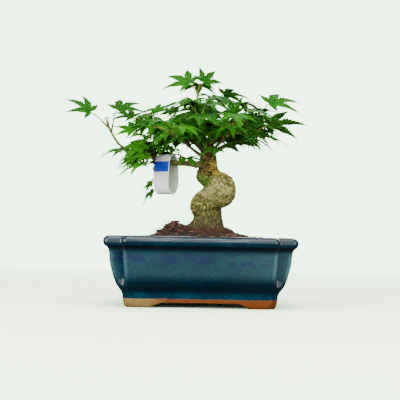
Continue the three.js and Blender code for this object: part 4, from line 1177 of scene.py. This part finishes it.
def all_shoots():
    shoots = []
    for start, stop, leaves in PLACED_SHOOTS:
        placed = []
        for *hub, heading, lean_x, lean_y, length in leaves:
            placed.append({"hub": np.array(hub, float), "heading": heading, "lean": (lean_x, lean_y),
                           "length": length, "lobes": 5})
        shoots.append({"from": np.array(start, float), "to": np.array(stop, float), "leaves": placed})
    for i, (start, heading, rise, count) in enumerate(FILL_SHOOTS):
        shoots.append(fill_shoot(start, heading, rise, count, Drawer(DRAW_SEED + i)))
    tag_x, tag_y, tag_z = TAG_HANG
    taken = [route_spots([(tag_x, tag_y, tag_z - 2), (tag_x, tag_y, tag_z - TAG_DROP)], TAG_ROOM),
             route_spots([p[:3] for p in TRUNK_NECK], NECK_ROOM)]
    for radii, route in BRANCHES.values():
        taken.append(route_spots(route, sum(radii) / 2))
    owners = [-1] * len(taken)
    for number, shoot in enumerate(shoots):
        shoot["number"] = number
        taken.append(route_spots([shoot["from"], shoot["to"]], STEM_RADIUS))
        owners.append(number)
    for shoot in shoots:
        placed = [place_leaf(leaf, shoot, taken, owners) for leaf in shoot["leaves"]]
        shoot["leaves"] = [leaf for leaf in placed if leaf]
    return [shoot for shoot in shoots if shoot["leaves"]], np.concatenate(taken)


def inner_leaves(taken):
    """Small leaves between those of the shoots, each on a stalk of its own from a branch."""
    draw = random.Random(INNER_SEED)
    tag_x, tag_y, tag_z = TAG_HANG
    found = []
    for _ in range(INNER_TRIES):
        if len(found) == INNER_LEAVES:
            break
        name, first, last = draw.choice(INNER_BRANCHES)
        start = curve_points(BRANCHES[name][1], [draw.uniform(first, last)])[0]
        outward = math.degrees(math.atan2(start[1], start[0] - CROWN_X))
        turn = draw.gauss(outward, INNER_TURN)
        hub = start + headed(turn, draw.uniform(*INNER_RISE)) * draw.uniform(*INNER_STALK)
        lean = headed(turn, 0) * draw.uniform(0, 0.7)
        leaf = {"hub": hub, "heading": turn, "lean": (lean[0], lean[1] - draw.uniform(0, 0.6)),
                "length": draw.uniform(*INNER_LENGTH), "lobes": draw.choice((5, 5, 7)), "from": start}
        spots = blade_spots(leaf)
        low = INNER_LOW[0] if hub[0] < INNER_LEFT else INNER_LOW[1]
        if spots[:, 2].min() < low or not is_clear(spots, taken, INNER_MARGIN):
            continue
        if hub[0] > INNER_RIGHT and draw.random() < INNER_SKIPPED:
            continue
        before_tag = (np.abs(spots[:, 0] - tag_x) < TAG_CLEAR[0]) & (spots[:, 1] < tag_y)
        if (before_tag & (spots[:, 2] < tag_z + TAG_CLEAR[1])).any():
            continue
        taken = np.concatenate([taken, spots])
        found.append(leaf)
    return found


# Leaves
def thickened(points, faces, offset):
    """Closes a sheet: adds its underside, moved by the offset, and a rim."""
    count = len(points)
    under = [tuple(count + i for i in reversed(face)) for face in faces]
    edges = {(a, b) for face in faces for a, b in zip(face, face[1:] + face[:1])}
    rim = [(b, a, count + a, count + b) for a, b in sorted(edges) if (b, a) not in edges]
    return [*points, *(p + offset for p in points)], [*faces, *under, *rim]


def lobe_rows(share_right, share_left, angle_right, angle_left):
    """Rows across a lobe: its place along the vein, and both half widths, by the lobe's length.
    The shares are the lengths of the valleys' rays by the lobe's, the angles those to the rays."""
    rows = []
    valleys = []
    for share, angle in ((share_right, angle_right), (share_left, angle_left)):
        reach = VALLEY * share
        valleys.append((reach * math.cos(angle), reach * math.sin(angle)))
    for part in (1 / 3, 2 / 3, 1):
        middle = part * VALLEY
        rows.append((middle, [(a * part, w * part) for a, w in valleys], 0.0))
    teeth = np.linspace(VALLEY + 0.03, 0.95, LOBE_TEETH + 1)
    for start, stop in zip(teeth, teeth[1:]):
        for place, swell in zip((start + (stop - start) * 0.8, stop), TOOTH_SWELL):
            sides = []
            for valley_along, valley_half in valleys:
                if place < LOBE_WIDEST:
                    share = max(0, (place - valley_along) / (LOBE_WIDEST - valley_along))
                    half = valley_half + (LOBE_WIDTH - valley_half) * math.sin(share * math.pi / 2)
                else:
                    u = (place - LOBE_WIDEST) / (1 - LOBE_WIDEST)
                    half = LOBE_WIDTH * (1 - u) ** TIP_POWER
                sides.append((place, half * swell + (0.006 if swell > 1 else -0.002)))
            rows.append((place, sides, min(1.0, (place - VALLEY) / 0.2)))
    return rows


def leaf_sheet(leaf, draw):
    """Points, faces and marks of a blade's upper face."""
    out, side, up = leaf_axes(leaf)
    angles, shares = LOBES[leaf["lobes"]]
    points, marks, faces, index = [], [], [], {}
    length = leaf["length"]
    ripple = draw.uniform(0, WHOLE_TURN)
    tip_turn = draw.uniform(-0.05, 0.05)

    def add(x, y, lift, across, along):
        reach = math.hypot(x, y)
        wave = LEAF_RIPPLE * math.sin(reach * 0.55 + ripple + across * 1.3) * min(1, reach / 12)
        height = LEAF_RISE * reach - LEAF_DROOP * reach ** 2 / length + lift + wave
        swing = tip_turn * reach * reach / length
        x, y = x - swing * y / max(reach, 1), y + swing * x / max(reach, 1)
        key = (round(x, 4), round(y, 4))
        if key not in index:
            index[key] = len(points)
            points.append(leaf["hub"] + x * out + y * side + height * up)
            marks.append((across, along))
        return index[key]

    hub = add(0, 0, 0, 0, 0)
    for lobe, (degrees, share) in enumerate(zip(angles, shares)):
        rays = []
        for step in (-1, 1):
            if 0 <= lobe + step < len(angles):
                rays.append(((degrees + angles[lobe + step]) / 2, (share + shares[lobe + step]) / 2))
            else:
                rays.append((degrees + step * OUTER_VALLEY, share))
        lobe_length = share * length
        rows = lobe_rows(rays[0][1] / share, rays[1][1] / share,
                         math.radians(degrees - rays[0][0]), math.radians(rays[1][0] - degrees))
        grid = []
        for middle, ((a_right, w_right), (a_left, w_left)), fold in rows:
            row = []
            for along, across, mark in ((a_right, -w_right, -1), ((a_right + middle) / 2, -w_right / 2, -0.5),
                                        (middle, 0, 0), ((a_left + middle) / 2, w_left / 2, 0.5),
                                        (a_left, w_left, 1)):
                along, across = along * lobe_length, across * lobe_length
                lift = LEAF_FOLD * fold * abs(across) + (LEAF_CUSHION if abs(mark) == 0.5 else 0)
                row.append(add(*swung(degrees, along, across), lift, mark, middle))
            grid.append(row)
        tip = add(*swung(degrees, lobe_length, 0), 0, 0, 1)
        for k in range(4):
            faces.append((hub, grid[0][k], grid[0][k + 1]))
            for low, high in zip(grid, grid[1:]):
                faces.append((low[k], high[k], high[k + 1], low[k + 1]))
            faces.append((grid[-1][k], tip, grid[-1][k + 1]))
    return points, faces, marks


def bud(at, ahead, size):
    """A small pointed bud."""
    route = [at - ahead * size * 0.3, at + ahead * size * 0.4, at + ahead * size]
    return tube(route, (size * 0.3, size * 0.42, size * 0.08), 6, 4)


def add_leaf(skin, leaf, stalk_start, draw):
    # Painted shade on leaves high in the crown and painted light on those below them.
    painted_shade_by_height = clamp((leaf["hub"][2] - TONE_HEIGHT) / TONE_REACH, *TONE_LIMITS)
    tone = clamp(draw.gauss(0.5, TONE_SPREAD) - painted_shade_by_height)
    points, faces, marks = leaf_sheet(leaf, draw)
    across, along = zip(*marks)
    under = [0.0] * len(points) + [1.0] * len(points)
    up = leaf_axes(leaf)[2]
    points, faces = thickened(points, faces, -BLADE_THICK * up)
    skin.add(points, faces, 0, tone=tone, across=across * 2, along=along * 2, under=under)
    route = stalk_route(stalk_start, leaf)
    route[0] = route[0] - up * STALK_SINK
    radii = np.linspace(STALK_RADIUS[1], STALK_RADIUS[0], 4)
    skin.add(*tube(route, radii, 7, 14), 1, tone=tone)


def make_inner_leaves(leaves, looks):
    draw = random.Random(SEEDS["inner"])
    for i, letter in enumerate("abc"):
        skin = Skin(LEAF_MARKS)
        for leaf in leaves[i::3]:
            add_leaf(skin, leaf, leaf["from"], draw)
        add_piece(skin.mesh(f"inner_leaves_{letter}"), looks, (), 50)


def make_shoot(number, shoot, looks):
    draw = random.Random(SEEDS["shoot"] + number)
    skin = Skin(LEAF_MARKS)
    ahead = unit(shoot["to"] - shoot["from"])
    start = shoot["from"] + ahead * (SPUR_LENGTH + SPUR_GAP)
    stem = [start, (start + shoot["to"]) / 2, shoot["to"] + ahead * 0.8]
    skin.add(*tube(stem, (STEM_RADIUS, STEM_RADIUS * 0.86, STEM_RADIUS), 10, 6, False), 2)
    skin.add(*bud(shoot["to"] + ahead * 0.6, ahead, END_BUD), 2)
    for leaf in shoot["leaves"]:
        add_leaf(skin, leaf, shoot["to"], draw)
    name = f"shoot_{number + 1:02d}"
    add_piece(skin.mesh(f"maple_{name}"), looks, [f"leafy_{name}"], 50)


# Trunk
def hollows(mesh, reach):
    """How far each point lies below the mean of its surroundings, in millimetres."""
    points = vectors(mesh.vertices, "co") * 1000
    edges = np.empty(len(mesh.edges) * 2, dtype=int)
    mesh.edges.foreach_get("vertices", edges)
    first, second = edges.reshape(-1, 2).T
    count = np.bincount(edges, minlength=len(points))[:, None] + 1
    mean = points.copy()
    for _ in range(reach):
        total = mean.copy()
        for axis in range(3):
            total[:, axis] += np.bincount(first, mean[second, axis], len(points))
            total[:, axis] += np.bincount(second, mean[first, axis], len(points))
        mean = total / count
    return ((mean - points) * vectors(mesh.vertex_normals, "vector")).sum(axis=1)


def trunk_relief(point, away):
    """How far bark stands out at a point, in millimetres."""
    x, y, z = point - POT_MIDDLE
    girth = clamp((24 - away) / 8, 0.12) if z < BARK_TOP else 0.2
    rough = 1 - 0.7 * max(0, 1 - math.dist((x, y, z), BULGE_MIDDLE) / BULGE_REACH)
    knobs = 0.5 - 1.3 * abs(swirl((x, y, z * 0.8), 3, 2))
    ribs = swirl((x * 1.2 + z * 0.4, y * 1.2, z * 0.35), 2.4, 5) * 0.55
    rings = swirl((x * 0.25, y * 0.25, z * 1.6), 2.2, 7) * (0.9 if RINGED[0] < z < RINGED[1] else 0.3)
    grain = swirl((x, y, z), 1.3, 9) * 0.3
    broad = swirl((x, y, z), 10) * 0.6
    left_side = clamp((3 - x) / 9) * (2 * bell(z - 94, 8) - 1.4 * bell(z - 81, 5))
    left_of_neck = 2.7 * clamp((6 - x) / 6) * bell(z - 118.5, 5.5)
    pit = 2.2 * bell(math.hypot(x - 8.4, z - 122.5), math.sqrt(3)) if y < -2 else 0
    bark = broad + rough * (knobs + ribs + grain) + rings + left_side + 0.25
    return girth * bark + left_of_neck - pit


def make_trunk(look):
    skin = Skin()
    for route, sides, steps in ((TRUNK_FOOT, 40, 44), (TRUNK_BULGE, 36, 24), (TRUNK_NECK, 32, 44)):
        skin.add(*wood(route, sides, steps))
    for root in ROOTS + [SURFACE_ROOT]:
        skin.add(*wood(root, 16, 14))
    for radii, route in BRANCHES.values():
        if radii[0] >= TRUNK_BRANCH:
            start = curve_points(route, np.linspace(0, 0.3, 4))
            skin.add(*tube(start, np.array(tapered(radii, 10))[:4] * BRANCH_SLIM, 12, 12, False))
    mesh = with_modifiers(
        skin.mesh("bark_trunk"),
        ("REMESH", {"mode": "VOXEL", "voxel_size": BARK_VOXEL / 1000}),
        ("SMOOTH", {"factor": 0.5, "iterations": 4}))
    core_route = TRUNK_FOOT[:6] + TRUNK_BULGE[2:3] + TRUNK_NECK[2:6]
    core = curve_points([p[:3] for p in core_route], np.linspace(0, 1, 60)) + POT_MIDDLE
    moved = []
    for point, normal in zip(vectors(mesh.vertices, "co") * 1000, vectors(mesh.vertex_normals, "vector")):
        away = np.min(np.linalg.norm(core - point, axis=1))
        moved.append(point + normal * trunk_relief(point, away))
    moved = np.array(moved)
    mesh.vertices.foreach_set("co", (moved / 1000).ravel())
    mesh.update()
    places = moved - POT_MIDDLE
    x, _, z = places.T
    above_bulge = np.clip((z - x - 105.5) / 2, 0, 1) * np.clip((z - 105) / 3, 0, 1)
    algae = above_bulge * np.clip((123 - x / 2 - z) / 3, 0, 1)
    near_bulge = np.clip((BULGE_REACH - np.linalg.norm(places - BULGE_MIDDLE, axis=1)) / 3, 0, 1)
    set_mark(mesh, "hollow", hollows(mesh, HOLLOW_REACH))
    set_mark(mesh, "algae", algae)
    set_mark(mesh, "bulge", near_bulge * (1 - algae))
    add_piece(mesh, [look], ["trunk"], 70)


def make_branches(looks, shoots):
    """Thin wood past the trunk: swollen at the nodes, with paired buds, and a spur to each shoot."""
    draw = random.Random(SEEDS["branches"])
    skin = Skin()
    for name, (radii, route) in BRANCHES.items():
        look = 1 if name in OLIVE_BRANCHES else 0
        reach = sum(math.dist(a, b) for a, b in zip(route, route[1:]))
        steps = int(reach / BRANCH_STEP)
        slim = [r * BRANCH_SLIM + BRANCH_LEAST for r in tapered(radii, steps + 1)]
        phase = draw.uniform(0, WHOLE_TURN)
        for i in range(steps + 1):
            along = i * reach / steps
            node = max(0, math.cos(along * 2 * math.pi / NODE_GAP + phase)) ** 12
            slim[i] *= 1 + NODE_SWELL * node + draw.uniform(-BRANCH_UNEVEN, BRANCH_UNEVEN)
        skin.add(*tube(route, slim, 12, steps, False), look)
        at = curve_points(route, np.linspace(0.35, 0.98, max(2, int(reach / NODE_GAP))))
        for before, place in zip(at, at[1:]):
            ahead = unit(place - before)
            aside = unit(np.cross(ahead, (draw.uniform(-1, 1), draw.uniform(-1, 1), 0.6)))
            for sign in (-1, 1):
                skin.add(*bud(place + aside * sign * BUD_GAP, unit(ahead + aside * sign), SIDE_BUD), look)
    for shoot in shoots:
        ahead = unit(shoot["to"] - shoot["from"])
        stop = shoot["from"] + ahead * SPUR_LENGTH
        skin.add(*tube([shoot["from"], stop], (SPUR_RADIUS * 0.9, SPUR_RADIUS * 0.8), 10, 3), 0)
    add_piece(skin.mesh("branches"), looks, (), 50)


# Tag
def tag_path():
    """The loop's inner outline as (across, height) points, once round from the top."""
    top, low, belly = TAG_TOP, -TAG_DROP, TAG_BELLY
    right = [[(0, top), (-top, top), (-belly * 0.9, -6), (-belly, -16)],
             [(-belly, -16), (-belly * 1.04, low + 7), (-belly * 0.72, low), (0, low)]]
    left = [[(-a, z) for a, z in reversed(part)] for part in reversed(right)]
    path = []
    for p0, p1, p2, p3 in (np.array(part, float) for part in right + left):
        path += [cubic(p0, p1, p2, p3, t) for t in np.linspace(0, 1, TAG_STEPS, endpoint=False)]
    return np.array(path)


def make_tag(looks):
    path = tag_path()
    ahead = np.roll(path, -1, axis=0) - np.roll(path, 1, axis=0)
    outward = np.column_stack([ahead[:, 1], -ahead[:, 0]])
    outward /= np.linalg.norm(outward, axis=1)[:, None]
    if outward[0][1] < 0:
        outward = -outward
    yaw = math.radians(90 + TAG_YAW)
    across = np.array((math.cos(yaw), math.sin(yaw), 0))
    width = np.array((math.sin(yaw), -math.cos(yaw), 0))
    half, thick, soft = TAG_WIDTH / 2, TAG_THICK, TAG_SOFT
    section = [(-half + soft, 0), (half - soft, 0), (half, soft), (half, thick - soft),
               (half - soft, thick), (-half + soft, thick), (-half, thick - soft), (-half, soft)]
    rings = []
    for (aside, height), (out_a, out_z) in zip(path, outward):
        ring = []
        for along, grow in section:
            lift = np.array((0, 0, height + out_z * grow))
            ring.append(TAG_HANG + across * (aside + out_a * grow) + width * along + lift)
        rings.append(ring)
    skin = Skin()
    skin.add([p for ring in rings for p in ring], [])
    count, total = len(section), len(rings)
    for r in range(total):
        after = (r + 1) % total
        low, high = r * count, after * count
        banded = TAG_BAND[0] < (path[r][1] + path[after][1]) / 2 < TAG_BAND[1] and path[r][0] < 0
        for i in range(count):
            j = (i + 1) % count
            inside, outside = i == 0, i == 4
            # The inner face takes the third look: the tag's white with painted shade and a painted green
            # cast.
            look = 2 if inside else 1 if outside and banded else 0
            skin.faces.append((low + i, high + i, high + j, low + j))
            skin.looks.append(look)
    add_piece(skin.mesh("plain_tag"), looks, ["loop_tag"], 40)


# Camera, floor and light
def make_camera():
    data = bpy.data.cameras.new("camera")
    data.lens = FOCAL_PIXELS / PHOTO_SIZE * SENSOR_WIDTH
    data.sensor_width = SENSOR_WIDTH
    data.shift_x = (PHOTO_SIZE / 2 - EYE_COLUMN) / PHOTO_SIZE
    data.shift_y = (EYE_ROW - PHOTO_SIZE / 2) / PHOTO_SIZE
    camera = new_object("camera", data)
    roll = math.radians(ROLL)
    right = Vector((math.cos(roll), 0, math.sin(roll)))
    up = Vector((-math.sin(roll), 0, math.cos(roll)))
    back = Vector((0, -1, 0))
    turn = Matrix((right, up, back)).transposed().to_4x4()
    camera.matrix_world = Matrix.Translation(Vector((np.array(EYE) + POT_MIDDLE) / 1000)) @ turn
    bpy.context.scene.camera = camera


def add_light(name, place, aim, size, power):
    data = bpy.data.lights.new(name, "AREA")
    data.size = size
    data.energy = power
    light = new_object(name, data)
    light.location = place
    light.rotation_euler = (Vector(aim) - Vector(place)).to_track_quat("-Z", "Y").to_euler()


def make_stage():
    mesh = bpy.data.meshes.new("floor")
    corners = [(x * FLOOR_REACH, y * FLOOR_REACH, 0) for x, y in ((-1, -1), (1, -1), (1, 1), (-1, 1))]
    mesh.from_pydata(corners, [], [(0, 1, 2, 3)])
    mesh.materials.append(floor_look())
    floor = new_object("floor", mesh)
    make_world()
    for name, settings in LIGHTS.items():
        add_light(name, *settings)


def dress_drains():
    """Materials for the screens and their wires, which show as they are in the frame."""
    screen = plain_look("screen_plastic", (20, 20, 20), (34, 34, 34), 4, 0.6, 0.05)
    wire = plain_look("brown_wire", (120, 84, 52), (158, 118, 78), 3, 0.35, 0.03, 1)
    for side in ("left", "right"):
        for node, material in ((f"drain_screen_{side}", screen), (f"screen_clip_{side}", wire)):
            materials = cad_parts[node].data.materials
            materials.clear()
            materials.append(material)


def main():
    make_camera()
    make_stage()
    make_pot(glaze_look())
    make_soil(soil_look())
    crumbs = [soil_look(), plain_look("red_crumbs", (30, 13, 6), (70, 37, 19), 1.2),
              plain_look("grey_crumbs", (22, 17, 12), (70, 56, 38), 1.2)]
    make_grains(crumbs)
    make_moss([plain_look("moss_green", (36, 44, 6), (70, 80, 18), 3),
               plain_look("moss_brown", (48, 20, 10), (92, 46, 26), 3),
               plain_look("moss_dark", (22, 14, 4), (54, 40, 14), 3)])
    make_litter([plain_look("dead_leaf", (44, 16, 8), (100, 46, 26), 2, 0.7),
                 plain_look("dark_leaf", (18, 9, 5), (52, 28, 16), 2, 0.7),
                 plain_look("dry_twig", (70, 50, 30), (132, 104, 72), 2, 0.8)])
    shoots, taken = all_shoots()
    brown = twig_look("brown_twig", (52, 40, 16), (94, 80, 38), (134, 120, 66))
    olive = twig_look("olive_twig", (48, 52, 18), (88, 94, 34), (130, 126, 60))
    leaf_looks = [leaf_look(), stalk_look(), olive]
    for number, shoot in enumerate(shoots):
        make_shoot(number, shoot, leaf_looks)
    make_inner_leaves(inner_leaves(taken), leaf_looks[:2])
    make_trunk(bark_look())
    make_branches([brown, olive], shoots)
    make_tag([plain_look("tag_white", (244, 245, 246), (252, 252, 252), 12, 0.35, 0.05),
              plain_look("tag_blue", (18, 58, 208), (36, 78, 222), 9, 0.35, 0.05),
              plain_look("tag_inside_painted_shade", (206, 222, 190), (232, 240, 224), 12, 0.45, 0.05)])
    dress_drains()


main()
